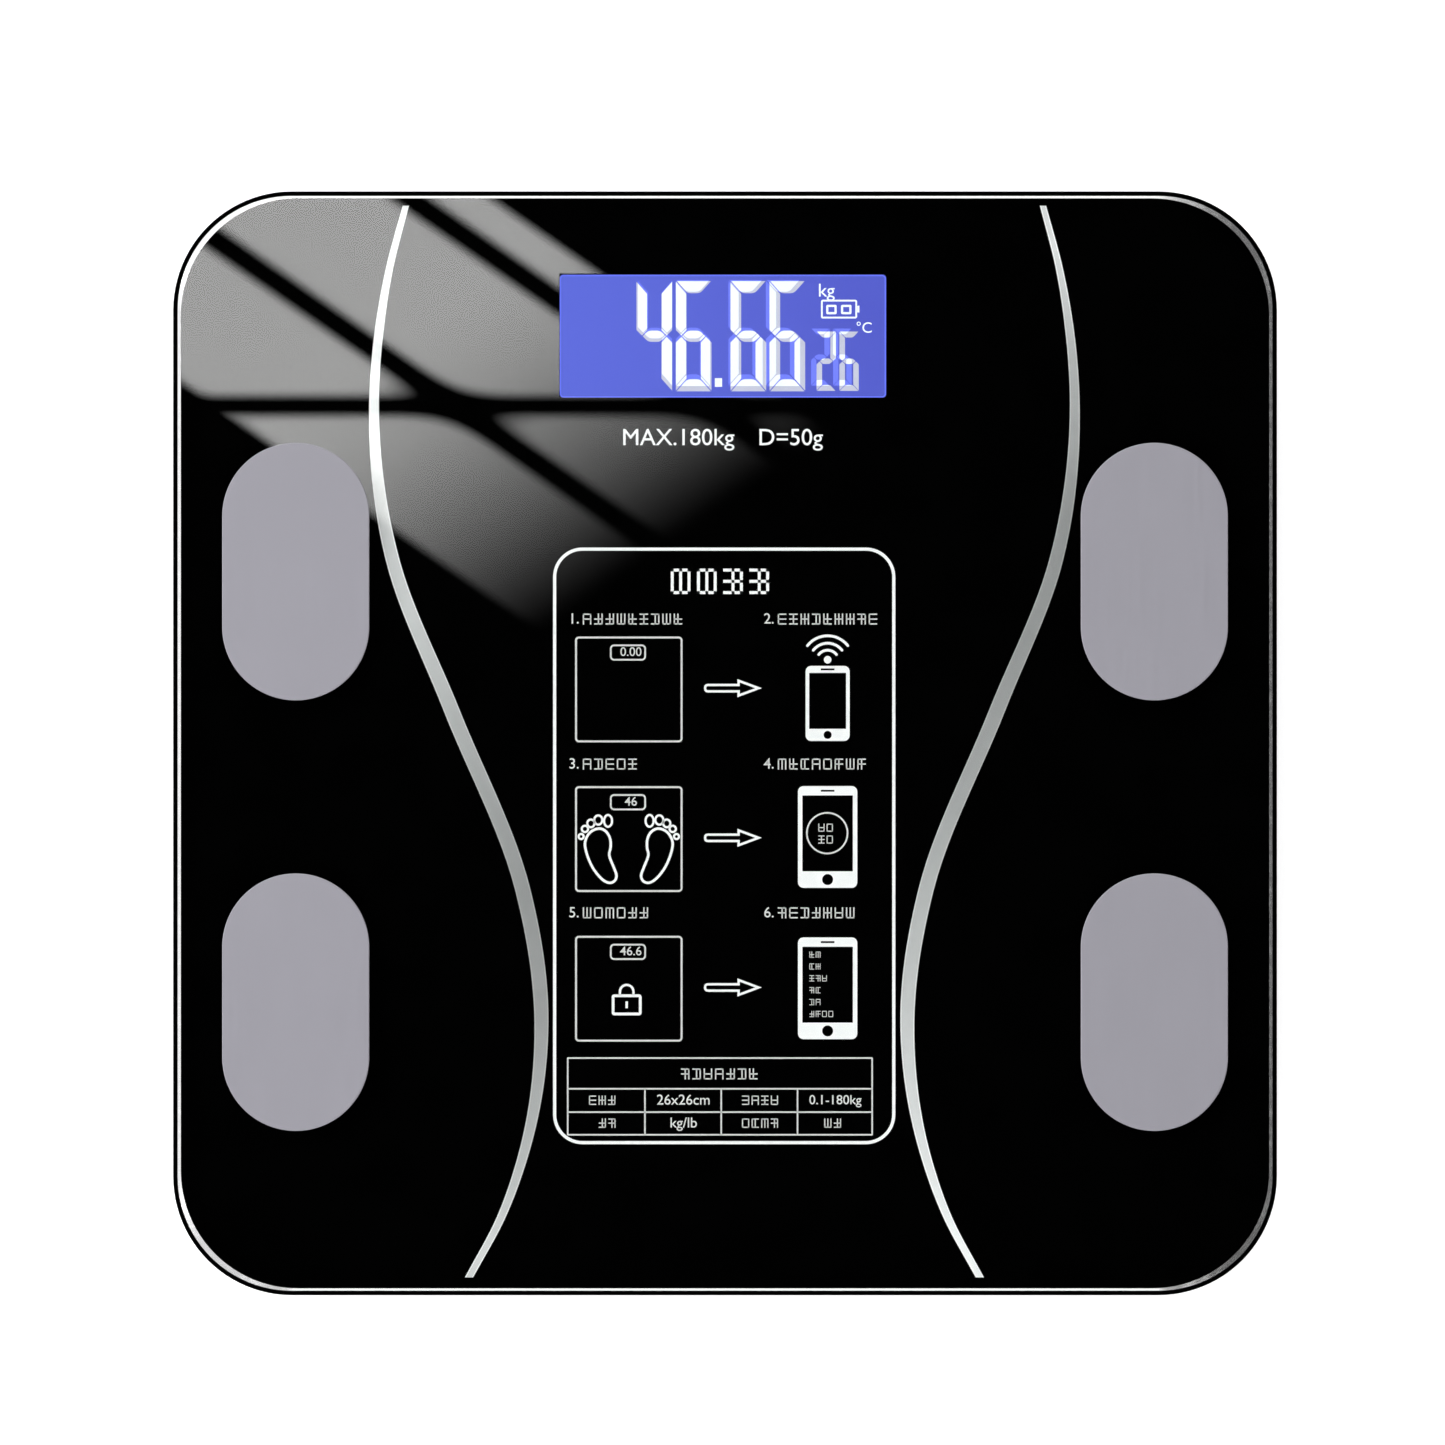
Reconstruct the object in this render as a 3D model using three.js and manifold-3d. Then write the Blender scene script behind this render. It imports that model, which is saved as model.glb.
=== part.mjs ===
// Digital bathroom scale with a glass platform, four weighing feet and a lit display.
// Millimetres, +Z up, +Y towards the display end, origin at the centre of the footprint.
import * as THREE from 'three';
import { mergeVertices } from 'three/addons/utils/BufferGeometryUtils.js';
import Module from 'manifold-3d';

const wasm = await Module();
wasm.setup();

// Driving dimensions.
const GLASS = { side: 260, corner: 28, bottom: 19, top: 24, edge: 0.8 };
const ELECTRODE = { width: 34.6, length: 60.6, thick: 0.4, x: 101, rearY: 40.4, frontY: -60.9 };
const STUD = { shaft: 2, hole: 2.5, collar: 4, collarThick: 1.4, tail: 1.2, bottom: 16.4 };
const TRAY = { side: 248, corner: 22, bottom: 4, top: 18, wall: 2, curveHeight: 12, curveInset: 6 };
const LEDGE = { width: 9.5, thick: 2, overlap: 1 };
const TAPE = { inset: 0.5, width: 8 };
const RIB = { thick: 1.5, height: 3, reach: 112, cross: [48, -52], long: 48, longRear: 66 };

const FOOT = { x: 90, y: 90, hole: 18, radius: 17.5, flange: 19.5, flangeBottom: 6.5, flangeTop: 8 };
const FOOT_CUP = { bottom: 1.2, post: 5, postTop: 10.4, padSeat: 15.8, seatTop: 2.5, edge: 0.6 };
const FOOT_PAD = { radius: 15.5, edge: 0.8 };
const WELL = { inner: 20.5, outer: 22, top: 9.8 };
const CELL = { side: 34, corner: 3, bottom: 11, top: 12.2, slot: 1.6, bar: 4, tongue: 11 };
const HOLDER = {
  side: 41, corner: 5, bottom: 10.4, gap: 0.3, well: 27, wellTop: 17.5, notch: 8, notchTop: 13.4,
};

const BOARD = { width: 110, front: 73, rear: 115, bottom: 11.3, top: 12.9, corner: 2 };
const SCREW = {
  x: 50.5, frontY: 78, rearY: 109, hole: 1.6, shank: 1.1, tip: 0.55,
  head: 2.6, headThick: 1.4, headEdge: 0.6, headFlat: 1.6,
};
const POST = { radius: 3.5, bore: 1.5, boreBottom: 6.6, screwBottom: 7.2 };
const LCD = {
  width: 82, depth: 32.4, y: 95.9, bottom: 15.7, top: 18.5, corner: 1.5,
  windowWidth: 78, windowDepth: 29.6, windowCorner: 1,
};
const LCD_FRAME = { gap: 0.3, wall: 1.3, top: 17.6, corner: 1.5, innerCorner: 0.5 };
const BACKLIGHT = { width: 80, front: 82.9, rear: 111.9 };
const ZEBRA = { width: 72, front: 79.9, rear: 82.1 };
const CHIP = { x: -5, y: 96, side: 10, thick: 1.4 };
const RADIO = { x: 22, y: 100, width: 14, depth: 12, thick: 2.2 };
const SENSOR = { x: 47.5, y: 92, radius: 1.3, height: 2.6, end: 0.8, slope: 0.8 };

const BUTTON = {
  x: -32, y: 84, cap: 3.9, hole: 4.3, bottom: 4.4, edge: 0.4, flange: 5.2, flangeThick: 1, floorGap: 0.2,
};
const BUTTON_NIB = { radius: 1.5, height: 0.2 };
const SWITCH = { side: 6, thick: 2.2, plunger: 1.7, plungerBottom: 8.4 };

const BAY = { halfWidth: 12, front: -31, rear: 21, wall: 3, rearWall: 4, roof: 17, roofThick: 1.5 };
const COVER = { halfWidth: 13.4, front: -32.4, bottom: 4, top: 5.6, gap: 0.4, seatTop: 5.9 };
const HINGE = { y: 26.5, z: 5.3, lug: 1.3, pin: 0.8, bore: 0.95, plateGap: 1.7, lipGap: 1 };
const LUG = {
  inner: 11, outer: 13.4, pinEnd: 15.4, boreEnd: 15.9, pocketGap: 0.4, pocketRear: 2.4, pocketTop: 7.2,
};
const HINGE_HOUSE = { halfWidth: 17.5, front: 24.8, rear: 30, top: 8.2 };
const LATCH = {
  halfWidth: 5, inner: -33.2, outer: -37, leg: 1, top: 8.6, noseTip: -37.5, noseLow: 6.2, noseHigh: 7.2,
};
const LATCH_HOUSE = { halfWidth: 7, front: -39.4, rear: -33, top: 10.4 };
const LATCH_POCKET = { halfWidth: 5.6, front: -38, rear: -32.8, top: 9.2 };
const SCOOP = { radius: 12, y: -43, depth: 1.1 };

const CELL_AAA = { radius: 5.25, length: 44.5, nub: 1.9, nubLength: 1, x: 5.5, z: 11.25, edge: 0.4 };
const CONTACT = {
  thick: 0.4, width: 9, bottom: 7, top: 15.5, bump: 1.5, bumpRadius: 2.6, bumpTip: 1.3, gap: 0.3,
};
const COIL = { wire: 0.35, base: 3.5, tip: 2.2, turns: 3, sides: 6, steps: 30 };
const LEAD = {
  cell: 0.9, thin: 0.6, sides: 8, boardGap: 0.5, straight: 4,
  cellGap: 1, cellZ: 11.6, studGap: 0.4, batteryZ: 13,
};
const ROUTE = {
  cellRear: [[64, 84, 10.7], [57, 69, 10.6], [47, 64.5, 11.2]],
  cellFront: [[63, -86, 11], [54, -60, 10.6], [50, 0, 10.6], [46, 50, 10.6], [36, 63, 11]],
  electrodeRear: [[99.6, 41.2, 13.6], [88, 46, 12.8], [66, 54, 13.4], [48, 58, 13.8], [30, 63, 13.6]],
  electrodeFront: [[99.6, -60, 13.6], [84, -52, 12.8], [62, -30, 13.4], [30, 32, 13.8], [19, 58, 13.6]],
  battery: [[5.8, 34, 12.2], [7, 55, 11.6]],
};
const BOARD_ENTRY = { cellRear: 43, cellFront: 34, electrodeRear: 25, electrodeFront: 16, battery: 7 };

// Facets of round shapes, from large to tiny, and steps of curved edges.
const FACETS = { large: 20, medium: 16, small: 12, tiny: 8 };
const CORNER_STEPS = 4;
const SMALL_CORNER_STEPS = 2;
const PILL_STEPS = 5;
const BEVEL_STEPS = 4;
const MERGE_DISTANCE = 1e-4;
const PAST = 1;

// Finishes.
const FINISH = {
  glass: finish(0x0b0c0e, 0.08, 0),
  steel: finish(0xa6a3ae, 0.35, 0.9),
  brass: finish(0xc8a75a, 0.35, 0.9),
  blackPlastic: finish(0x1b1b1d, 0.6, 0),
  foam: finish(0x161616, 0.95, 0),
  whitePlastic: finish(0xe8e8e6, 0.5, 0),
  lcd: finish(0x5a62dd, 0.15, 0),
  lightGuide: finish(0xdfe6ff, 0.3, 0),
  zebra: finish(0xd98fa0, 0.8, 0),
  board: finish(0x1d5a35, 0.5, 0),
  epoxy: finish(0x101010, 0.35, 0),
  springSteel: finish(0xb9bcc0, 0.3, 1),
  zinc: finish(0x8f9296, 0.4, 1),
  rubber: finish(0x2b2b2d, 0.9, 0),
  batteryJacket: finish(0x3c6a4c, 0.35, 0.2),
  red: finish(0xb3261e, 0.5, 0),
  black: finish(0x141414, 0.5, 0),
  white: finish(0xe9e9e4, 0.5, 0),
  grey: finish(0x8a8a8a, 0.5, 0),
};

function finish(color, roughness, metalness) {
  return new THREE.MeshStandardMaterial({ color, roughness, metalness });
}

// Solids and geometry.
function toSolid(geometry) {
  const bare = geometry.clone();
  bare.deleteAttribute('normal');
  bare.deleteAttribute('uv');
  const merged = mergeVertices(bare, MERGE_DISTANCE);
  const index = merged.index.array;
  const triangles = [];
  for (let i = 0; i < index.length; i += 3) {
    const [a, b, c] = [index[i], index[i + 1], index[i + 2]];
    if (a !== b && b !== c && c !== a) triangles.push(a, b, c);
  }
  const vertProperties = new Float32Array(merged.attributes.position.array);
  const triVerts = Uint32Array.from(triangles);
  return new wasm.Manifold(new wasm.Mesh({ numProp: 3, vertProperties, triVerts }));
}

function toGeometry(body) {
  const { vertProperties, triVerts } = body.getMesh();
  const geometry = new THREE.BufferGeometry();
  geometry.setAttribute('position', new THREE.BufferAttribute(vertProperties.slice(), 3));
  geometry.setIndex(new THREE.BufferAttribute(triVerts.slice(), 1));
  geometry.computeVertexNormals();
  return geometry;
}

function join(first, ...others) {
  return others.reduce((body, other) => body.add(other), first);
}

function cut(first, ...others) {
  return others.reduce((body, other) => body.subtract(other), first);
}

function roundedRect(width, depth, radius, y = 0) {
  const [w, d] = [width / 2, depth / 2];
  const shape = new THREE.Shape();
  shape.absarc(w - radius, y + d - radius, radius, 0, Math.PI / 2);
  shape.absarc(radius - w, y + d - radius, radius, Math.PI / 2, Math.PI);
  shape.absarc(radius - w, y - d + radius, radius, Math.PI, 1.5 * Math.PI);
  shape.absarc(w - radius, y - d + radius, radius, 1.5 * Math.PI, 2 * Math.PI);
  shape.closePath();
  return shape;
}

function polygon(points) {
  return new THREE.Shape(points.map(([x, y]) => new THREE.Vector2(x, y)));
}

function extrude(shape, bottom, top, curveSegments = CORNER_STEPS) {
  const options = { depth: top - bottom, bevelEnabled: false, curveSegments };
  return toSolid(new THREE.ExtrudeGeometry(shape, options).translate(0, 0, bottom));
}

function bevelled(shape, bottom, top, rise, inset, bevelSegments) {
  const geometry = new THREE.ExtrudeGeometry(shape, {
    depth: top - bottom - 2 * rise,
    bevelThickness: rise,
    bevelSize: inset,
    bevelOffset: -inset,
    bevelSegments,
    curveSegments: CORNER_STEPS,
  });
  return toSolid(geometry.translate(0, 0, bottom + rise));
}

function ring(outer, inner, bottom, top) {
  outer.holes.push(inner);
  return extrude(outer, bottom, top);
}

function box(x0, x1, y0, y1, z0, z1) {
  const geometry = new THREE.BoxGeometry(x1 - x0, y1 - y0, z1 - z0);
  return toSolid(geometry.translate((x0 + x1) / 2, (y0 + y1) / 2, (z0 + z1) / 2));
}

function cylinder(radius, bottom, top, segments, x = 0, y = 0) {
  const geometry = new THREE.CylinderGeometry(radius, radius, top - bottom, segments);
  return toSolid(geometry.rotateX(Math.PI / 2).translate(x, y, (bottom + top) / 2));
}

function rodAlongX(radius, x0, x1, segments, y, z) {
  const geometry = new THREE.CylinderGeometry(radius, radius, x1 - x0, segments);
  return toSolid(geometry.rotateZ(Math.PI / 2).translate((x0 + x1) / 2, y, z));
}

function lathe(profile, segments) {
  const points = profile.map(([r, z]) => new THREE.Vector2(r, z));
  return toSolid(new THREE.LatheGeometry(points, segments).rotateX(Math.PI / 2));
}

function sectionAlongX(points, halfWidth) {
  // The outline is given as (y, z) points and runs across the width.
  const options = { depth: 2 * halfWidth, bevelEnabled: false };
  const geometry = new THREE.ExtrudeGeometry(polygon(points), options);
  geometry.rotateX(Math.PI / 2).rotateZ(Math.PI / 2);
  return toSolid(geometry.translate(-halfWidth, 0, 0));
}

function tube(path, radius, sides, steps) {
  const corners = Array.from({ length: sides }, (_, i) => {
    const angle = (2 * Math.PI * i) / sides;
    return [radius * Math.cos(angle), radius * Math.sin(angle)];
  });
  const options = { steps, extrudePath: path, bevelEnabled: false };
  return toSolid(new THREE.ExtrudeGeometry(polygon(corners), options));
}

// Platform.
function glassPlatform() {
  const shape = roundedRect(GLASS.side, GLASS.side, GLASS.corner);
  const plate = bevelled(shape, GLASS.bottom, GLASS.top, GLASS.edge, GLASS.edge, 1);
  const holes = electrodePlaces().map(({ x, y }) => (
    cylinder(STUD.hole, GLASS.bottom - PAST, GLASS.top + PAST, FACETS.medium, x, y)
  ));
  return cut(plate, ...holes);
}

function electrode() {
  const shape = roundedRect(ELECTRODE.width, ELECTRODE.length, ELECTRODE.width / 2);
  return extrude(shape, 0, ELECTRODE.thick, PILL_STEPS);
}

function contactStud() {
  const collarBottom = GLASS.bottom - STUD.collarThick;
  return lathe([
    [0, STUD.bottom],
    [STUD.tail, STUD.bottom],
    [STUD.tail, collarBottom],
    [STUD.collar, collarBottom],
    [STUD.collar, GLASS.bottom],
    [STUD.shaft, GLASS.bottom],
    [STUD.shaft, GLASS.top],
    [0, GLASS.top],
  ], FACETS.medium);
}

function perimeterTape() {
  const side = TRAY.side - 2 * TAPE.inset;
  const outer = roundedRect(side, side, TRAY.corner - TAPE.inset);
  const inset = TAPE.inset + TAPE.width;
  const inner = roundedRect(TRAY.side - 2 * inset, TRAY.side - 2 * inset, TRAY.corner - inset);
  return ring(outer, inner, TRAY.top, GLASS.bottom);
}

// Base tray.
function trayShell() {
  const { side, corner, bottom, top, wall, curveHeight, curveInset } = TRAY;
  const over = top + curveHeight + PAST;
  const outer = bevelled(
    roundedRect(side, side, corner), bottom, over, curveHeight, curveInset, BEVEL_STEPS);
  const inner = bevelled(
    roundedRect(side - 2 * wall, side - 2 * wall, corner - wall),
    bottom + wall, over + wall, curveHeight, curveInset, BEVEL_STEPS);
  const above = box(-side, side, -side, side, top, over + wall + PAST);
  return cut(outer, inner, above);
}

function trayLedge() {
  const { side, corner, top } = TRAY;
  const outer = roundedRect(side - 2 * LEDGE.overlap, side - 2 * LEDGE.overlap, corner - LEDGE.overlap);
  const inner = roundedRect(side - 2 * LEDGE.width, side - 2 * LEDGE.width, corner - LEDGE.width);
  return ring(outer, inner, top - LEDGE.thick, top);
}

function trayRibs() {
  const floor = TRAY.bottom + TRAY.wall;
  const [low, high] = [floor - PAST, floor + RIB.height];
  const half = RIB.thick / 2;
  const across = RIB.cross.map((y) => box(-RIB.reach, RIB.reach, y - half, y + half, low, high));
  const along = [-RIB.long, RIB.long].map((x) => (
    box(x - half, x + half, -RIB.reach, RIB.longRear, low, high)
  ));
  return [...across, ...along];
}

function bayBlocks() {
  const { halfWidth, front, rear, wall, rearWall, roof, roofThick } = BAY;
  return [
    box(-halfWidth - wall, halfWidth + wall, front - wall, rear + rearWall, TRAY.bottom, roof + roofThick),
    box(-HINGE_HOUSE.halfWidth, HINGE_HOUSE.halfWidth, HINGE_HOUSE.front, HINGE_HOUSE.rear,
      TRAY.bottom, HINGE_HOUSE.top),
    box(-LATCH_HOUSE.halfWidth, LATCH_HOUSE.halfWidth, LATCH_HOUSE.front, LATCH_HOUSE.rear,
      TRAY.bottom, LATCH_HOUSE.top),
  ];
}

function bayCuts() {
  const below = TRAY.bottom - PAST;
  const recess = COVER.halfWidth + COVER.gap;
  const pockets = [-1, 1].flatMap((side) => {
    const [near, far] = [LUG.inner - LUG.pocketGap, LUG.outer + LUG.pocketGap];
    const [x0, x1] = side > 0 ? [near, far] : [-far, -near];
    const [b0, b1] = side > 0 ? [far - PAST, LUG.boreEnd] : [-LUG.boreEnd, PAST - far];
    return [
      box(x0, x1, BAY.rear + BAY.rearWall - LUG.pocketGap, HINGE.y + LUG.pocketRear, below, LUG.pocketTop),
      rodAlongX(HINGE.bore, b0, b1, FACETS.small, HINGE.y, HINGE.z),
    ];
  });
  return [
    box(-BAY.halfWidth, BAY.halfWidth, BAY.front, BAY.rear, below, BAY.roof),
    box(-recess, recess, COVER.front - COVER.gap, HINGE.y - HINGE.lipGap, below, COVER.seatTop),
    box(-LATCH_POCKET.halfWidth, LATCH_POCKET.halfWidth, LATCH_POCKET.front, LATCH_POCKET.rear,
      below, LATCH_POCKET.top),
    ...pockets,
  ];
}

function fingerScoop() {
  const ball = new THREE.SphereGeometry(SCOOP.radius, FACETS.large, FACETS.large).rotateX(Math.PI / 2);
  return toSolid(ball.translate(0, SCOOP.y, TRAY.bottom + SCOOP.depth - SCOOP.radius));
}

function baseTray() {
  const floor = TRAY.bottom + TRAY.wall;
  const below = TRAY.bottom - PAST;
  const atFeet = (radius, low, high) => (
    footPlaces().map(({ x, y }) => cylinder(radius, low, high, FACETS.large, x, y))
  );
  const atScrews = (radius, low, high, facets) => (
    screwPlaces().map(({ x, y }) => cylinder(radius, low, high, facets, x, y))
  );
  const wells = atFeet(WELL.outer, floor - PAST, WELL.top);
  const wellBores = atFeet(WELL.inner, floor, WELL.top + PAST);
  const footHoles = atFeet(FOOT.hole, below, floor + PAST);
  const posts = atScrews(POST.radius, floor - PAST, BOARD.bottom, FACETS.small);
  const bores = atScrews(POST.bore, POST.boreBottom, BOARD.bottom + PAST, FACETS.tiny);
  const buttonHole = cylinder(BUTTON.hole, below, floor + PAST, FACETS.large, BUTTON.x, BUTTON.y);
  const body = join(trayShell(), trayLedge(), ...trayRibs(), ...wells, ...posts, ...bayBlocks());
  return cut(body, ...wellBores, ...footHoles, ...bores, buttonHole, ...bayCuts(), fingerScoop());
}

// Weighing feet.
function footCup() {
  const { radius, flange, flangeBottom, flangeTop } = FOOT;
  const { bottom, post, postTop, padSeat, seatTop, edge } = FOOT_CUP;
  return lathe([
    [0, seatTop],
    [padSeat, seatTop],
    [padSeat, bottom],
    [radius - edge, bottom],
    [radius, bottom + edge],
    [radius, flangeBottom],
    [flange, flangeBottom],
    [flange, flangeTop],
    [post, flangeTop],
    [post, postTop],
    [0, postTop],
  ], FACETS.large);
}

function footPad() {
  const { radius, edge } = FOOT_PAD;
  return lathe([
    [0, 0],
    [radius - edge, 0],
    [radius, edge],
    [radius, FOOT_CUP.seatTop],
    [0, FOOT_CUP.seatTop],
  ], FACETS.large);
}

function loadCell() {
  const half = CELL.side / 2;
  const [slot, tongue] = [half - CELL.bar, CELL.tongue / 2];
  const inner = slot - CELL.slot;
  // A U-shaped slot frees the central tongue, joined to the frame on one side only.
  const uSlot = polygon([
    [-slot, -slot],
    [slot, -slot],
    [slot, slot],
    [slot - CELL.slot, slot],
    [slot - CELL.slot, -inner],
    [-slot, -inner],
  ]);
  const innerSlot = polygon([
    [-slot, -tongue],
    [tongue, -tongue],
    [tongue, slot],
    [tongue - CELL.slot, slot],
    [tongue - CELL.slot, -tongue + CELL.slot],
    [-slot, -tongue + CELL.slot],
  ]);
  const outline = roundedRect(CELL.side, CELL.side, CELL.corner);
  const plate = extrude(outline, CELL.bottom, CELL.top, SMALL_CORNER_STEPS);
  const slots = [uSlot, innerSlot].map((shape) => extrude(shape, CELL.bottom - PAST, CELL.top + PAST));
  return cut(plate, ...slots);
}

function cellHolder() {
  const { side, corner, bottom, gap, well, wellTop, notch, notchTop } = HOLDER;
  const block = extrude(roundedRect(side, side, corner), bottom, GLASS.bottom, SMALL_CORNER_STEPS);
  const seat = CELL.side / 2 + gap;
  return cut(
    block,
    box(-seat, seat, -seat, seat, bottom - PAST, CELL.top),
    box(-well / 2, well / 2, -well / 2, well / 2, bottom, wellTop),
    box(-side, side, -notch / 2, notch / 2, bottom - PAST, notchTop),
  );
}

// Display and circuit board.
function lcdPanel() {
  const [w, d] = [LCD.width / 2, LCD.depth / 2];
  return box(-w, w, LCD.y - d, LCD.y + d, LCD.bottom, LCD.top);
}

function lcdGasket() {
  const outer = roundedRect(LCD.width, LCD.depth, LCD.corner, LCD.y);
  const inner = roundedRect(LCD.windowWidth, LCD.windowDepth, LCD.windowCorner, LCD.y);
  return ring(outer, inner, LCD.top, GLASS.bottom);
}

function lcdFrame() {
  const { gap, wall, top, corner, innerCorner } = LCD_FRAME;
  const [w, d] = [LCD.width + 2 * gap, LCD.depth + 2 * gap];
  const outer = roundedRect(w + 2 * wall, d + 2 * wall, corner, LCD.y);
  return ring(outer, roundedRect(w, d, innerCorner, LCD.y), BOARD.top, top);
}

function backlight() {
  const half = BACKLIGHT.width / 2;
  return box(-half, half, BACKLIGHT.front, BACKLIGHT.rear, BOARD.top, LCD.bottom);
}

function zebraStrip() {
  const half = ZEBRA.width / 2;
  return box(-half, half, ZEBRA.front, ZEBRA.rear, BOARD.top, LCD.bottom);
}

function mainBoard() {
  const depth = BOARD.rear - BOARD.front;
  const shape = roundedRect(BOARD.width, depth, BOARD.corner, BOARD.front + depth / 2);
  const holes = screwPlaces().map(({ x, y }) => (
    cylinder(SCREW.hole, BOARD.bottom - PAST, BOARD.top + PAST, FACETS.small, x, y)
  ));
  return cut(extrude(shape, BOARD.bottom, BOARD.top, SMALL_CORNER_STEPS), ...holes);
}

function controllerChip() {
  const { x, y, thick } = CHIP;
  const half = CHIP.side / 2;
  return box(x - half, x + half, y - half, y + half, BOARD.bottom - thick, BOARD.bottom);
}

function radioModule() {
  const { x, y, thick } = RADIO;
  const [w, d] = [RADIO.width / 2, RADIO.depth / 2];
  return box(x - w, x + w, y - d, y + d, BOARD.bottom - thick, BOARD.bottom);
}

function temperatureSensor() {
  const { radius, height, end, slope } = SENSOR;
  return lathe([
    [0, 0],
    [end, 0],
    [radius, slope],
    [radius, height - slope],
    [end, height],
    [0, height],
  ], FACETS.small);
}

function boardScrew() {
  const { shank, tip, head, headThick, headEdge, headFlat } = SCREW;
  return lathe([
    [0, POST.screwBottom],
    [tip, POST.screwBottom],
    [shank, POST.screwBottom + shank],
    [shank, BOARD.top],
    [head, BOARD.top],
    [head, BOARD.top + headEdge],
    [headFlat, BOARD.top + headThick],
    [0, BOARD.top + headThick],
  ], FACETS.small);
}

function tactSwitch() {
  const half = SWITCH.side / 2;
  const bodyBottom = BOARD.bottom - SWITCH.thick;
  const body = box(-half, half, -half, half, bodyBottom, BOARD.bottom);
  const plungerTop = bodyBottom + SWITCH.thick / 2;
  return join(body, cylinder(SWITCH.plunger, SWITCH.plungerBottom, plungerTop, FACETS.small));
}

function unitButton() {
  const flangeBottom = TRAY.bottom + TRAY.wall + BUTTON.floorGap;
  const flangeTop = flangeBottom + BUTTON.flangeThick;
  return lathe([
    [0, BUTTON.bottom],
    [BUTTON.cap - BUTTON.edge, BUTTON.bottom],
    [BUTTON.cap, BUTTON.bottom + BUTTON.edge],
    [BUTTON.cap, flangeBottom],
    [BUTTON.flange, flangeBottom],
    [BUTTON.flange, flangeTop],
    [BUTTON_NIB.radius, flangeTop],
    [BUTTON_NIB.radius, flangeTop + BUTTON_NIB.height],
    [0, flangeTop + BUTTON_NIB.height],
  ], FACETS.large);
}

// Battery bay.
function batteryCover() {
  const plateRear = HINGE.y - HINGE.plateGap;
  const plate = box(-COVER.halfWidth, COVER.halfWidth, COVER.front, plateRear, COVER.bottom, COVER.top);
  const lugs = [-1, 1].flatMap((side) => {
    const [x0, x1] = side > 0 ? [LUG.inner, LUG.outer] : [-LUG.outer, -LUG.inner];
    const [p0, p1] = side > 0 ? [LUG.inner, LUG.pinEnd] : [-LUG.pinEnd, -LUG.inner];
    return [
      box(x0, x1, plateRear - PAST, HINGE.y, COVER.bottom, COVER.top),
      rodAlongX(HINGE.lug, x0, x1, FACETS.medium, HINGE.y, HINGE.z),
      rodAlongX(HINGE.pin, p0, p1, FACETS.small, HINGE.y, HINGE.z),
    ];
  });
  const { inner, outer, leg, top, noseTip, noseLow, noseHigh, halfWidth } = LATCH;
  const clip = sectionAlongX([
    [COVER.front + PAST, COVER.bottom],
    [COVER.front + PAST, COVER.bottom + leg],
    [inner, COVER.bottom + leg],
    [inner, top],
    [outer, top],
    [outer, noseHigh],
    [noseTip, noseLow],
    [outer, noseLow],
    [outer, COVER.bottom],
    [outer + leg, COVER.bottom],
    [outer + leg, top - leg],
    [inner - leg, top - leg],
    [inner - leg, COVER.bottom],
  ], halfWidth);
  return join(plate, ...lugs, clip);
}

function battery() {
  const { radius, length, nub, nubLength, edge } = CELL_AAA;
  const shoulder = length - nubLength;
  return lathe([
    [0, 0],
    [radius - edge, 0],
    [radius, edge],
    [radius, shoulder - edge],
    [radius - edge, shoulder],
    [nub, shoulder],
    [nub, length],
    [0, length],
  ], FACETS.large);
}

class ConeCoil extends THREE.Curve {
  constructor(x, base, height) {
    super();
    this.start = new THREE.Vector3(x, base, 0);
    this.height = height;
  }

  getPoint(t, target = new THREE.Vector3()) {
    const angle = 2 * Math.PI * COIL.turns * t;
    const radius = COIL.base + (COIL.tip - COIL.base) * t;
    target.set(radius * Math.cos(angle), this.height * t, radius * Math.sin(angle));
    return target.add(this.start);
  }
}

// A contact stands on the plane y = 0 and reaches towards +Y; x and z are measured from a cell's axis.
function springLeaf(x, height) {
  const coil = new ConeCoil(x, CONTACT.thick, height - CONTACT.thick - COIL.wire);
  return tube(coil, COIL.wire, COIL.sides, COIL.steps);
}

function contactPlate(x0, x1) {
  const [low, high] = [CONTACT.bottom - CELL_AAA.z, CONTACT.top - CELL_AAA.z];
  return box(x0, x1, 0, CONTACT.thick, low, high);
}

function contactBump(x) {
  const { thick, bump, bumpRadius, bumpTip } = CONTACT;
  const geometry = new THREE.CylinderGeometry(bumpTip, bumpRadius, bump, FACETS.small);
  return toSolid(geometry.translate(x, thick + bump / 2 - MERGE_DISTANCE, 0));
}

function springHeight() {
  const room = BAY.rear - BAY.front - CELL_AAA.length - 2 * CONTACT.gap;
  return room - CONTACT.thick - CONTACT.bump;
}

function bridgeContact() {
  const reach = CELL_AAA.x + CONTACT.width / 2;
  const spring = springLeaf(-CELL_AAA.x, springHeight());
  return join(contactPlate(-reach, reach), spring, contactBump(CELL_AAA.x));
}

function plusContact() {
  return join(contactPlate(-CONTACT.width / 2, CONTACT.width / 2), contactBump(0));
}

function minusContact() {
  return join(contactPlate(-CONTACT.width / 2, CONTACT.width / 2), springLeaf(0, springHeight()));
}

// Leads, routed over the ribs to the front edge of the board.
function lead(points, radius) {
  const path = new THREE.CatmullRomCurve3(points.map((p) => new THREE.Vector3(...p)));
  return tube(path, radius, LEAD.sides, 2 * points.length);
}

function toBoard(x) {
  const z = (BOARD.bottom + BOARD.top) / 2;
  return [LEAD.straight, LEAD.boardGap].map((gap) => [x, BOARD.front - gap, z]);
}

function route(side, start, name) {
  const points = [start, ...ROUTE[name], ...toBoard(BOARD_ENTRY[name])];
  return points.map(([x, y, z]) => [side * x, y, z]);
}

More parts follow.
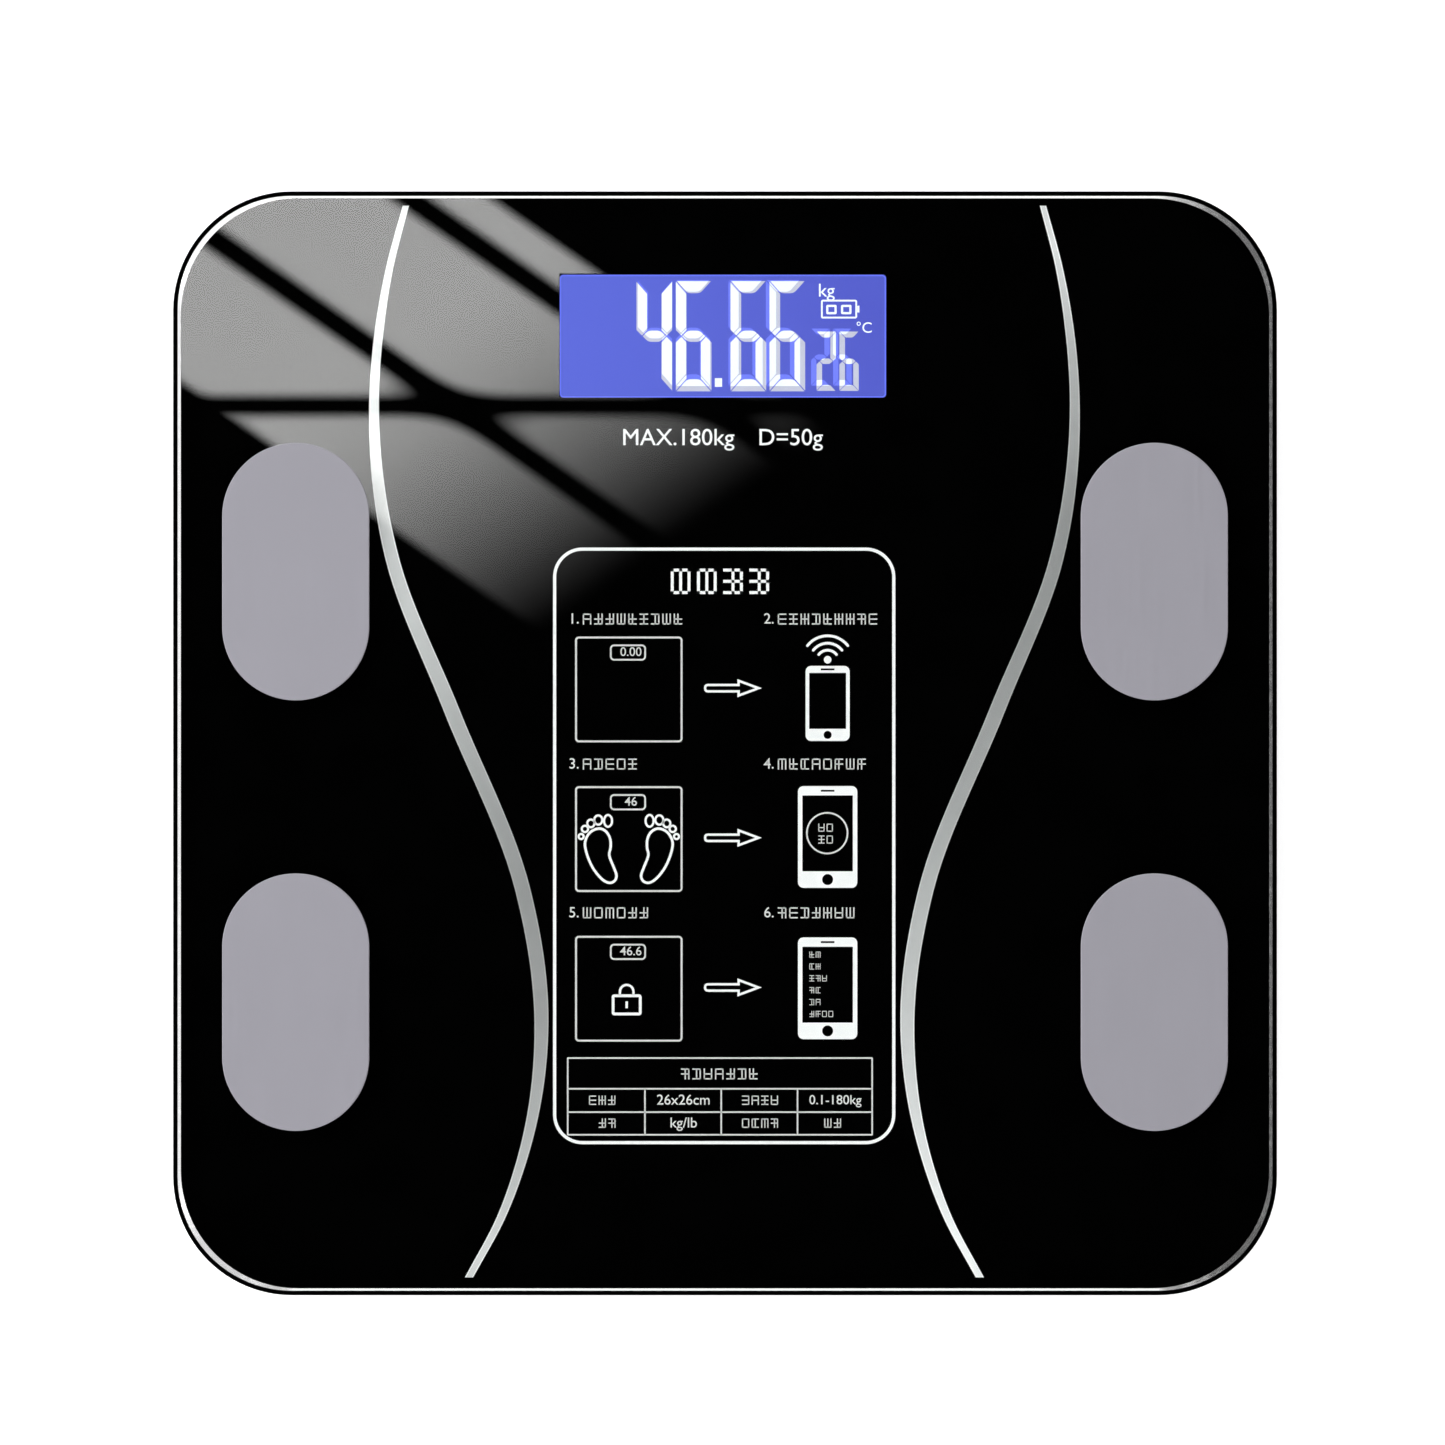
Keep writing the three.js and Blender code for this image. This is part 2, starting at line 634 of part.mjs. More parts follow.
function cellLeadPath(side, rear) {
  const start = [FOOT.x - CELL.side / 2 - LEAD.cellGap, rear ? FOOT.y : -FOOT.y, LEAD.cellZ];
  return route(side, start, rear ? 'cellRear' : 'cellFront');
}

function electrodeLeadPath(side, rear) {
  const start = [ELECTRODE.x, rear ? ELECTRODE.rearY : ELECTRODE.frontY, STUD.bottom - LEAD.studGap];
  return route(side, start, rear ? 'electrodeRear' : 'electrodeFront');
}

function batteryLeadPath(side) {
  const start = [CELL_AAA.x, BAY.rear + BAY.rearWall + LEAD.boardGap, LEAD.batteryZ];
  return route(side, start, 'battery');
}

// Places of what repeats, named by end and side.
function corners(x, rearY, frontY) {
  return [
    { name: 'rear_left', x: -x, y: rearY },
    { name: 'rear_right', x, y: rearY },
    { name: 'front_left', x: -x, y: frontY },
    { name: 'front_right', x, y: frontY },
  ];
}

function electrodePlaces() {
  return corners(ELECTRODE.x, ELECTRODE.rearY, ELECTRODE.frontY);
}

function footPlaces() {
  return corners(FOOT.x, FOOT.y, -FOOT.y);
}

function screwPlaces() {
  return corners(SCREW.x, SCREW.rearY, SCREW.frontY);
}

// Assembly.
const scale = new THREE.Group();

function add(name, body, material, place = [0, 0, 0], turn = [0, 0, 0]) {
  const mesh = new THREE.Mesh(toGeometry(body), material.clone());
  mesh.name = name;
  mesh.position.set(...place);
  mesh.rotation.set(...turn);
  scale.add(mesh);
}

add('glass_platform', glassPlatform(), FINISH.glass);
add('base_tray', baseTray(), FINISH.blackPlastic);
add('perimeter_tape', perimeterTape(), FINISH.foam);

for (const { name, x, y } of electrodePlaces()) {
  add(`electrode_${name}`, electrode(), FINISH.steel, [x, y, GLASS.top]);
  add(`contact_stud_${name}`, contactStud(), FINISH.brass, [x, y, 0]);
}

for (const { name, x, y } of footPlaces()) {
  add(`foot_cup_${name}`, footCup(), FINISH.blackPlastic, [x, y, 0]);
  add(`foot_pad_${name}`, footPad(), FINISH.rubber, [x, y, 0]);
  add(`load_cell_${name}`, loadCell(), FINISH.zinc, [x, y, 0]);
  add(`cell_holder_${name}`, cellHolder(), FINISH.whitePlastic, [x, y, 0]);
}

add('lcd_panel', lcdPanel(), FINISH.lcd);
add('lcd_gasket', lcdGasket(), FINISH.foam);
add('lcd_frame', lcdFrame(), FINISH.whitePlastic);
add('backlight', backlight(), FINISH.lightGuide);
add('zebra_strip', zebraStrip(), FINISH.zebra);
add('main_board', mainBoard(), FINISH.board);
add('controller_chip', controllerChip(), FINISH.epoxy);
add('radio_module', radioModule(), FINISH.springSteel);
add('temperature_sensor', temperatureSensor(), FINISH.epoxy, [SENSOR.x, SENSOR.y, BOARD.top]);
for (const { name, x, y } of screwPlaces()) {
  add(`board_screw_${name}`, boardScrew(), FINISH.zinc, [x, y, 0]);
}

add('tact_switch', tactSwitch(), FINISH.epoxy, [BUTTON.x, BUTTON.y, 0]);
add('unit_button', unitButton(), FINISH.blackPlastic, [BUTTON.x, BUTTON.y, 0]);

// The left cell points to the rear and the right cell to the front.
const nubRoom = CONTACT.thick + CONTACT.bump + CONTACT.gap;
const leftTail = [-CELL_AAA.x, BAY.rear - nubRoom - CELL_AAA.length, CELL_AAA.z];
const rightTail = [CELL_AAA.x, BAY.front + nubRoom + CELL_AAA.length, CELL_AAA.z];
const quarter = Math.PI / 2;
const about = [0, 0, Math.PI];
add('battery_cover', batteryCover(), FINISH.blackPlastic);
add('battery_left', battery(), FINISH.batteryJacket, leftTail, [-quarter, 0, 0]);
add('battery_right', battery(), FINISH.batteryJacket, rightTail, [quarter, 0, 0]);
add('contact_bridge', bridgeContact(), FINISH.springSteel, [0, BAY.front, CELL_AAA.z]);
add('contact_plus', plusContact(), FINISH.springSteel, [-CELL_AAA.x, BAY.rear, CELL_AAA.z], about);
add('contact_minus', minusContact(), FINISH.springSteel, [CELL_AAA.x, BAY.rear, CELL_AAA.z], about);

for (const { name, x, y } of corners(1, 1, -1)) {
  add(`cell_lead_${name}`, lead(cellLeadPath(x, y > 0), LEAD.cell), FINISH.grey);
  add(`electrode_lead_${name}`, lead(electrodeLeadPath(x, y > 0), LEAD.thin), FINISH.white);
}
add('battery_lead_red', lead(batteryLeadPath(-1), LEAD.thin), FINISH.red);
add('battery_lead_black', lead(batteryLeadPath(1), LEAD.thin), FINISH.black);

export default scale;
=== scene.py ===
import random
from math import atan2, cos, pi, radians, sin, tau

import bmesh
import bpy
from mathutils import Matrix, Vector


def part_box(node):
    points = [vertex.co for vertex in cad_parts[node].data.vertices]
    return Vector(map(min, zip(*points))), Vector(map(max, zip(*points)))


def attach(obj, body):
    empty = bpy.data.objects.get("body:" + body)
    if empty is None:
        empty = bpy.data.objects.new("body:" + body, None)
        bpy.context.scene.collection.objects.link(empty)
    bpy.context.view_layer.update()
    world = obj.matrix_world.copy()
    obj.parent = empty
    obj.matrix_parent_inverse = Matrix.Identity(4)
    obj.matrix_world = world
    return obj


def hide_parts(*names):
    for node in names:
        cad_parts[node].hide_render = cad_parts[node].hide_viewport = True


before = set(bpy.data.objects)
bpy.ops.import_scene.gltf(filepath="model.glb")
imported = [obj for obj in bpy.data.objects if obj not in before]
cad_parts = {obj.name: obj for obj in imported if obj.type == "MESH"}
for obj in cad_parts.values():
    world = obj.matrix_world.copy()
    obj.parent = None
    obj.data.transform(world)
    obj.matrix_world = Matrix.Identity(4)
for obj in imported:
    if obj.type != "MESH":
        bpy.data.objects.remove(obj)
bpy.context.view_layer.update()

MM = 0.001
ENDS = ("rear_left", "rear_right", "front_left", "front_right")

# Places and sizes that come from the frame, in metres.
GLASS_LOW, GLASS_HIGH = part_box("glass_platform")
GLASS_HALF = GLASS_HIGH.x
TRAY_LOW, TRAY_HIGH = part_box("base_tray")
TAPE_LOW, TAPE_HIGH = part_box("perimeter_tape")
LCD_LOW, LCD_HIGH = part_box("lcd_panel")
LCD_CENTRE = (LCD_LOW + LCD_HIGH) / 2
BOARD_LOW, BOARD_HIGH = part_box("main_board")

# Driving dimensions of the visible finish, in millimetres.
GLASS_CORNER = 28.0
CHAMFER = {"outer": 1.15, "inner": (1.95, 1.75), "drop": 0.6, "inner_corner": 27.6}
# The coat entry is how far the black skin of painted shade on the arris stands proud of the glass and sinks
# into it.
ARRIS = {"drop": 0.75, "steps": 6, "coat": 0.01}
PRINT = {"depth": 0.03, "black": 0.06, "white": 0.02}
WINDOW = {"x": 77.0, "y": 29.0, "corner": 0.8, "border": 0.35, "shift": (-0.5, 0.15)}
PANEL = {"x": 80.0, "y": 140.0, "corner": 6.6, "line": 0.75, "centre": (-0.2, -24.2)}
CAPACITY = {"y": 72.0, "height": 3.9}

WINDOW_CENTRE = (WINDOW["shift"][0], LCD_CENTRE.y / MM + WINDOW["shift"][1])

CORNER_STEPS = 24
CIRCLE_STEPS = 72


# ---------------------------------------------------------------- materials

class Value:
    """A shader socket that arithmetic works on: each operator adds one Math node."""

    def __init__(self, works, socket):
        self.works = works
        self.socket = socket

    def math(self, operation, *terms):
        return self.works.add("Math", {"operation": operation}, dict(enumerate(terms)))

    def __add__(self, other):
        return self.math("ADD", self, other)

    def __sub__(self, other):
        return self.math("SUBTRACT", self, other)

    def __rsub__(self, other):
        return self.math("SUBTRACT", other, self)

    def __mul__(self, other):
        return self.math("MULTIPLY", self, other)

    def __truediv__(self, other):
        return self.math("DIVIDE", self, other)

    def __abs__(self):
        return self.math("ABSOLUTE", self)

    __radd__ = __add__
    __rmul__ = __mul__

    def wave(self):
        return self.math("SINE", self)

    def step(self, low, high, out_low=0.0, out_high=1.0):
        """Rises smoothly from out_low at low to out_high at high."""
        settings = {"interpolation_type": "SMOOTHSTEP"}
        return self.works.add("MapRange", settings, {0: self, 1: low, 2: high, 3: out_low, 4: out_high})

    def spread(self, low, high, out_low=0.0, out_high=1.0):
        """Rises evenly from out_low at low to out_high at high."""
        return self.works.add("MapRange", {}, {0: self, 1: low, 2: high, 3: out_low, 4: out_high})


class Works:
    """A node tree, with one call that adds a node of any type and fills its sockets."""

    def __init__(self, tree):
        self.tree = tree

    def feed(self, socket, value):
        if isinstance(value, Value):
            self.tree.links.new(value.socket, socket)
        elif isinstance(value, tuple) and len(value) == 3 and len(socket.default_value) == 4:
            socket.default_value = (*value, 1.0)
        else:
            socket.default_value = value

    def add(self, kind, settings=None, inputs=None, output=0):
        """Shader nodes go by their short name; the settings are set before the sockets are filled."""
        full = kind if kind.startswith(("Geometry", "Function")) else "ShaderNode" + kind
        node = self.tree.nodes.new(full)
        for name, value in (settings or {}).items():
            setattr(node, name, value)
        for socket, value in (inputs or {}).items():
            self.feed(node.inputs[socket], value)
        return Value(self, node.outputs[output])


class Finish(Works):
    """One material: a Principled shader and the nodes that vary it over the surface."""

    def __init__(self, name, colour, roughness=0.5, **constants):
        self.block = bpy.data.materials.new(name)
        self.block.use_nodes = True
        super().__init__(self.block.node_tree)
        self.shader = self.tree.nodes["Principled BSDF"]
        self.out = self.tree.nodes["Material Output"]
        self.set("Base Color", colour)
        self.set("Roughness", roughness)
        for socket, value in constants.items():
            self.set(socket.replace("_", " "), value)
        self.place = self.add("TexCoord", output="Object")

    def set(self, socket, value):
        self.feed(self.shader.inputs[socket], value)
        return self

    def axis(self, name):
        return self.add("SeparateXYZ", inputs={0: self.place}, output="XYZ".index(name))

    def scaled(self, factors):
        return self.add("VectorMath", {"operation": "MULTIPLY"}, {0: self.place, 1: factors})

    def noise(self, scale, detail=3.0, stretch=None, roughness=0.55):
        place = self.scaled(stretch) if stretch else self.place
        return self.add("TexNoise", inputs={"Vector": place, "Scale": scale, "Detail": detail,
                                            "Roughness": roughness})

    def cells(self, scale, output="Distance", stretch=None):
        place = self.scaled(stretch) if stretch else self.place
        return self.add("TexVoronoi", inputs={"Vector": place, "Scale": scale}, output=output)

    def mix(self, factor, first, second):
        settings = {"data_type": "RGBA"}
        return self.add("Mix", settings, {0: factor, 6: first, 7: second}, output=2)

    def ramp(self, factor, stops):
        """Colours at places from 0 to 1, blended in between."""
        colours = self.add("ValToRGB", inputs={0: factor})
        band = colours.socket.node.color_ramp
        while len(band.elements) < len(stops):
            band.elements.new(1.0)
        for element, (place, colour) in zip(band.elements, stops):
            element.position = place
            element.color = (*colour, 1.0)
        return colours

    def bump(self, height, strength, distance=0.1 * MM):
        inputs = {"Height": height, "Strength": strength, "Distance": distance}
        return self.set("Normal", self.add("Bump", inputs=inputs))


def grade(colour, factor):
    return tuple(factor * c for c in colour)


def clear_glass():
    """Polished glass that lets lamps light the print under it, with faint wiping marks."""
    finish = Finish("platform_glass", (0.94, 0.97, 0.96), 0.0, IOR=1.5, Transmission_Weight=1.0)
    smears = finish.noise(34, 4, (1.0, 0.35, 1.0)).step(0.45, 0.8)
    finish.set("Roughness", smears * 0.012)
    shadow = finish.add("LightPath", output="Is Shadow Ray")
    through = finish.add("BsdfTransparent", inputs={0: (0.9, 0.93, 0.92)})
    polished = Value(finish, finish.shader.outputs[0])
    pane = finish.add("MixShader", inputs={0: shadow, 1: polished, 2: through})
    finish.tree.links.new(pane.socket, finish.out.inputs["Surface"])
    return finish.block


def bright_bevel():
    """The ground chamfer: bright like satin metal, with fine wheel marks."""
    finish = Finish("bright_bevel", (0.9, 0.9, 0.9), 0.22, Metallic=0.9)
    grain = finish.noise(5200, 2)
    marks = finish.noise(420, 3)
    finish.set("Base Color", finish.mix(marks, (0.84, 0.84, 0.85), (0.95, 0.95, 0.94)))
    finish.set("Roughness", marks.spread(0.3, 0.7, 0.17, 0.27))
    finish.bump(grain, 0.08, 0.01 * MM)
    return finish.block


def ink(name, colour, patch=0.08, roughness=0.55, **constants):
    """Screen-print ink seen through glass: matt, with a faint unevenness of the coat."""
    finish = Finish(name, colour, roughness, Specular_IOR_Level=0.0, **constants)
    coat = finish.noise(90, 3).step(0.3, 0.7)
    finish.set("Base Color", finish.mix(coat, grade(colour, 1 - patch), colour))
    mesh_marks = finish.noise(2600, 1)
    finish.bump(mesh_marks, 0.05, 0.01 * MM)
    return finish


def display_ground():
    """The lit blue-violet field of the display, a little uneven from its side lamps; its brightening
    towards the left is painted reflection of the window light.
    """
    finish = Finish("display_field", (0.03, 0.03, 0.09), 0.4, Specular_IOR_Level=0.0)
    across = finish.axis("X").spread(-WINDOW["x"] / 2 * MM, WINDOW["x"] / 2 * MM)
    lamp = finish.noise(28, 2).spread(0.3, 0.7)
    # The field glows brighter at the left than at the right: painted reflection of the window light.
    glow = finish.mix(across, (0.108, 0.145, 0.73), (0.072, 0.088, 0.55))
    finish.set("Emission Color", finish.mix(lamp * 0.35, glow, (0.1, 0.13, 0.7)))
    finish.set("Emission Strength", 1.0)
    dots = finish.cells(2400)
    finish.bump(dots, 0.02, 0.01 * MM)
    return finish.block


def display_light(name, colour):
    """A lit layer of the display, a little uneven."""
    finish = Finish(name, grade(colour, 0.3), 0.5, Specular_IOR_Level=0.0)
    glow = finish.noise(120, 2).spread(0.3, 0.7)
    finish.set("Emission Color", finish.mix(glow, grade(colour, 0.93), colour))
    finish.set("Emission Strength", 1.0)
    return finish.block


def brushed_steel(name, colour, across="X", roughness=0.45, metallic=0.75):
    """Sheet steel with long fine brush lines along one axis."""
    finish = Finish(name, colour, roughness, Metallic=metallic)
    stretch = (1.0, 0.012, 1.0) if across == "X" else (0.012, 1.0, 1.0)
    lines = finish.noise(3400, 4, stretch, 0.7)
    cloud = finish.noise(22, 2)
    shade = lines.spread(0.25, 0.75, -0.5, 0.5) * 0.5 + cloud
    finish.set("Base Color", finish.mix(shade, grade(colour, 0.95), grade(colour, 1.04)))
    finish.set("Roughness", lines.spread(0.3, 0.7, roughness - 0.05, roughness + 0.07))
    finish.bump(lines, 0.06, 0.01 * MM)
    return finish.block


def moulded(name, colour, roughness=0.55, grain=1500, depth=0.03, **constants):
    """Moulded plastic with a fine eroded texture and slight tone changes."""
    finish = Finish(name, colour, roughness, **constants)
    spark = finish.noise(grain, 4, roughness=0.7)
    tone = finish.noise(30, 3)
    finish.set("Base Color", finish.mix(tone, grade(colour, 0.88), grade(colour, 1.12)))
    finish.set("Roughness", spark.spread(0.3, 0.7, roughness - 0.08, roughness + 0.1))
    finish.bump(spark, 0.35, depth * MM)
    return finish.block


# ---------------------------------------------------------------- mesh tools

def make_object(name, vertices, faces):
    mesh = bpy.data.meshes.new(name)
    mesh.from_pydata([tuple(v) for v in vertices], [], faces)
    mesh.update()
    piece = bpy.data.objects.new(name, mesh)
    bpy.context.scene.collection.objects.link(piece)
    return piece


def smooth(piece, sharp_degrees=30.0):
    """Smooth shading that keeps edges sharper than the given angle crisp."""
    shape = bmesh.new()
    shape.from_mesh(piece.data)
    for face in shape.faces:
        face.smooth = True
    for edge in shape.edges:
        edge.smooth = edge.is_manifold and edge.calc_face_angle(0.0) < radians(sharp_degrees)
    shape.to_mesh(piece.data)
    shape.free()
    return piece


def finished(piece, material, body, replaces=(), sharp_degrees=30.0):
    """Gives a piece its material and its body, and hides the CAD nodes it stands for."""
    piece.data.materials.clear()
    piece.data.materials.append(material)
    smooth(piece, sharp_degrees)
    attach(piece, body)
    if replaces:
        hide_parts(*replaces)
    return piece


def rounded_rect(half_x, half_y, radius, centre=(0.0, 0.0), steps=CORNER_STEPS):
    """Corner arcs of a rounded rectangle, anticlockwise, in the caller's units."""
    points = []
    for quarter, (side_x, side_y) in enumerate(((1, 1), (-1, 1), (-1, -1), (1, -1))):
        for i in range(steps + 1):
            angle = (quarter + i / steps) * pi / 2
            x = centre[0] + side_x * (half_x - radius) + radius * cos(angle)
            y = centre[1] + side_y * (half_y - radius) + radius * sin(angle)
            points.append((x, y))
    return points


def circle(radius, centre=(0.0, 0.0), steps=CIRCLE_STEPS, squash=1.0):
    """A round outline, or an oval one that is squash times as long as it is wide."""
    angles = [tau * i / steps for i in range(steps)]
    return [(centre[0] + radius * cos(a), centre[1] + radius * squash * sin(a)) for a in angles]


def stack_faces(count, levels, wrap):
    faces = []
    for level in range(levels if wrap else levels - 1):
        low, high = level * count, (level + 1) % levels * count
        for i in range(count):
            j = (i + 1) % count
            faces.append((low + i, low + j, high + j, high + i))
    if not wrap:
        faces.append(tuple(reversed(range(count))))
        faces.append(tuple(range((levels - 1) * count, levels * count)))
    return faces


def stacked(name, loops, wrap=False):
    """A closed skin through loops of (x, y) points at given heights, listed from the bottom outwards."""
    vertices = [(x, y, z) for points, z in loops for x, y in points]
    return make_object(name, vertices, stack_faces(len(loops[0][0]), len(loops), wrap))


def turned(name, profile, centre=(0.0, 0.0), steps=CIRCLE_STEPS):
    """A solid of revolution about a vertical axis; the profile runs from bottom to top, in metres."""
    vertices, faces = [], []
    rings = []
    for radius, z in profile:
        if radius < 1e-9:
            rings.append([len(vertices)])
            vertices.append((centre[0], centre[1], z))
        else:
            rings.append(list(range(len(vertices), len(vertices) + steps)))
            vertices += [(x, y, z) for x, y in circle(radius, centre, steps)]
    for low, high in zip(rings, rings[1:]):
        for i in range(steps):
            j = (i + 1) % steps
            corners = [low[i % len(low)], low[j % len(low)], high[j % len(high)], high[i % len(high)]]
            face = list(dict.fromkeys(corners))
            if len(face) > 2:
                faces.append(tuple(face))
    return make_object(name, vertices, faces)


def moved(piece, matrix):
    """Puts a place or a turn into the mesh, so that the object itself stays at the origin."""
    piece.data.transform(matrix)
    return piece


def block(x0, x1, y0, y1, z0, z1, edge=0.0):
    """A box given in millimetres, with its edges rounded where edge is more than nothing."""
    corners = [(x, y, z) for z in (z0, z1) for x, y in ((x0, y0), (x1, y0), (x1, y1), (x0, y1))]
    vertices = [Vector(corner) * MM for corner in corners]
    body = make_object("block", vertices, stack_faces(4, 2, False))
    if edge:
        shape = bmesh.new()
        shape.from_mesh(body.data)
        bmesh.ops.bevel(shape, geom=shape.edges[:], offset=edge * MM, segments=3, profile=0.5,
                        affect="EDGES")
        shape.to_mesh(body.data)
        shape.free()
    return body


def drum(radius, z0, z1, centre=(0.0, 0.0), steps=64):
    """An upright cylinder given in millimetres."""
    profile = [(0, z0 * MM), (radius * MM, z0 * MM), (radius * MM, z1 * MM), (0, z1 * MM)]
    return turned("drum", profile, (centre[0] * MM, centre[1] * MM), steps)


def rod_across(radius, x0, x1, y, z, steps=40):
    """A cylinder along the width, given in millimetres."""
    rod = drum(radius, x0, x1, steps=steps)
    moved(rod, Matrix.Rotation(pi / 2, 4, "Y"))
    return moved(rod, Matrix.Translation(Vector((0, y, z)) * MM))


def section_across(points, half_width):
    """An outline of (y, z) points carried across the width, in millimetres."""
    outline = points if signed_area(points) > 0 else points[::-1]
    vertices = [Vector((x, y, z)) * MM for x in (-half_width, half_width) for y, z in outline]
    return make_object("section", vertices, stack_faces(len(outline), 2, False))


def plate_stack(bounds, radius, levels, steps=CORNER_STEPS):
    """A rounded plate in millimetres, from (inset, height) levels, listed from the bottom."""
    half_x, half_y, centre = bounds
    loops = []
    for inset, z in levels:
        outline = rounded_rect(half_x - inset, half_y - inset, max(radius - inset, 0.05), centre, steps)
        loops.append(([(x * MM, y * MM) for x, y in outline], z * MM))
    return stacked("plate", loops)


def carved(name, base, joins=(), cuts=()):
    """Joins and then cuts closed bodies, and leaves one closed body."""
    for operation, tools in (("UNION", joins), ("DIFFERENCE", cuts)):
        for tool in tools:
            step = base.modifiers.new(operation.lower(), "BOOLEAN")
            step.operation = operation
            step.solver = "MANIFOLD"
            step.object = tool
    bpy.context.view_layer.update()
    mesh = bpy.data.meshes.new_from_object(base.evaluated_get(bpy.context.evaluated_depsgraph_get()))
    base.modifiers.clear()
    base.data = mesh
    base.name = name
    for tool in (*joins, *cuts):
        bpy.data.objects.remove(tool)
    return base


def wire(name, path, radius, sides_round=10):
    """A round wire along a path of points in metres, closed at both ends."""
    points = [Vector(point) for point in path]
    vertices = []
    along = (points[1] - points[0]).normalized()
    side = along.orthogonal().normalized()
    for i, point in enumerate(points):
        ahead = points[min(i + 1, len(points) - 1)] - points[max(i - 1, 0)]
        side = along.rotation_difference(ahead.normalized()) @ side
        along = ahead.normalized()
        up = along.cross(side)
        for k in range(sides_round):
            angle = tau * k / sides_round
            vertices.append(point + (side * cos(angle) + up * sin(angle)) * radius)
    return make_object(name, vertices, stack_faces(sides_round, len(points), False))


def coiled(name, x, root, tip, radii, turns, wire_radius, z):
    """A conical spring about a line along Y, from its root to its tip, in metres."""
    steps = 40 * turns
    path = []
    for i in range(steps + 1):
        t = i / steps
        angle = tau * turns * t
        radius = radii[0] + (radii[1] - radii[0]) * t
        path.append((x + radius * cos(angle), root + (tip - root) * t, z + radius * sin(angle)))
    return wire(name, path, wire_radius)


def signed_area(points):
    return sum(a[0] * b[1] - b[0] * a[1] for a, b in zip(points, points[1:] + points[:1])) / 2


class Sheet:
    """Thin plates of one height range, drawn in millimetres about a centre and joined in one mesh."""

    def __init__(self, bottom, thickness, centre=(0.0, 0.0), mirror=False):
        self.bottom = bottom
        self.top = bottom + thickness
        self.centre = centre
        self.side = -1 if mirror else 1
        self.vertices = []
        self.faces = []

    def _lift(self, points, z):
        return [((self.centre[0] + self.side * x) * MM, (self.centre[1] + y) * MM, z) for x, y in points]

    def _add(self, levels, wrap):
        start = len(self.vertices)
        for points, z in levels:
            self.vertices += self._lift(points, z)
        for face in stack_faces(len(levels[0][0]), len(levels), wrap):
            self.faces.append(tuple(start + i for i in face))

    def plate(self, points):
        if signed_area(points) < 0:
            points = points[::-1]
        self._add([(points, self.bottom), (points, self.top)], False)

    def band(self, outer, inner):
        levels = [(outer, self.bottom), (outer, self.top), (inner, self.top), (inner, self.bottom)]
        self._add(levels, True)

    def frame(self, half_x, half_y, radius, width, centre=(0.0, 0.0), steps=8):
        grow = width / 2
        inner_radius = max(radius - grow, 0.02)
        self.band(rounded_rect(half_x + grow, half_y + grow, radius + grow, centre, steps),
                  rounded_rect(half_x - grow, half_y - grow, inner_radius, centre, steps))

    def bar(self, x0, x1, y0, y1):
        self.plate([(x0, y0), (x1, y0), (x1, y1), (x0, y1)])

    def disc(self, radius, centre, steps=28):
        self.plate(circle(radius, centre, steps))

    def loop(self, points, width):
        """A closed line through points."""
        if signed_area(points) < 0:
            points = points[::-1]
        self.band(*sides(points, width, True))

    def line(self, points, width, round_steps=0):
        """An open line through points, with square or round ends."""
        right, left = sides(points, width, False)
        start, end = [], []
        for target, tip, edge in ((end, points[-1], right[-1]), (start, points[0], left[0])):
            first = atan2(edge[1] - tip[1], edge[0] - tip[0])
            for i in range(1, round_steps):
                angle = first + pi * i / round_steps
                target.append((tip[0] + width / 2 * cos(angle), tip[1] + width / 2 * sin(angle)))
        self.plate(right + end + left[::-1] + start)

    def text(self, body, height, centre):
        """Digits and units, set in the plain built-in face."""
        curve = bpy.data.curves.new("text", "FONT")
        curve.body = body
        curve.size = height / 0.7
        curve.align_x = "CENTER"
        curve.align_y = "CENTER"
        curve.resolution_u = 4
        curve.extrude = 1.0
        curve.offset = 0.004 * height
        writer = bpy.data.objects.new("text", curve)
        bpy.context.scene.collection.objects.link(writer)
        bpy.context.view_layer.update()
        mesh = bpy.data.meshes.new_from_object(writer.evaluated_get(bpy.context.evaluated_depsgraph_get()))
        shape = bmesh.new()
        shape.from_mesh(mesh)
        bmesh.ops.remove_doubles(shape, verts=shape.verts, dist=1e-4)
        bmesh.ops.recalc_face_normals(shape, faces=shape.faces)
        start = len(self.vertices)
        for vertex in shape.verts:
            x, y, z = vertex.co
            level = self.top if z > 0 else self.bottom
            self.vertices += self._lift([(centre[0] + x, centre[1] + y)], level)
        self.faces += [tuple(start + v.index for v in face.verts) for face in shape.faces]
        shape.free()
        bpy.data.objects.remove(writer)
        bpy.data.curves.remove(curve)
        bpy.data.meshes.remove(mesh)

    def piece(self, name):
        faces = self.faces if self.side > 0 else [face[::-1] for face in self.faces]
        return make_object(name, self.vertices, faces)


def sides(points, width, closed):
    """The outer and inner side of a line through points, mitred at its corners."""
    outer, inner = [], []
    count = len(points)
    for i, (x, y) in enumerate(points):
        before = points[i - 1] if closed or i else points[0]
        after = points[(i + 1) % count] if closed or i < count - 1 else points[-1]
        if not closed and i == 0:
            before = (2 * x - after[0], 2 * y - after[1])
        if not closed and i == count - 1:
            after = (2 * x - before[0], 2 * y - before[1])
        first = Vector((x - before[0], y - before[1])).normalized()
        second = Vector((after[0] - x, after[1] - y)).normalized()
        normal = Vector((first.y + second.y, -first.x - second.x)).normalized()
        reach = width / 2 / max(normal.dot(Vector((first.y, -first.x))), 0.35)
        outer.append((x + normal.x * reach, y + normal.y * reach))
        inner.append((x - normal.x * reach, y - normal.y * reach))
    return outer, inner


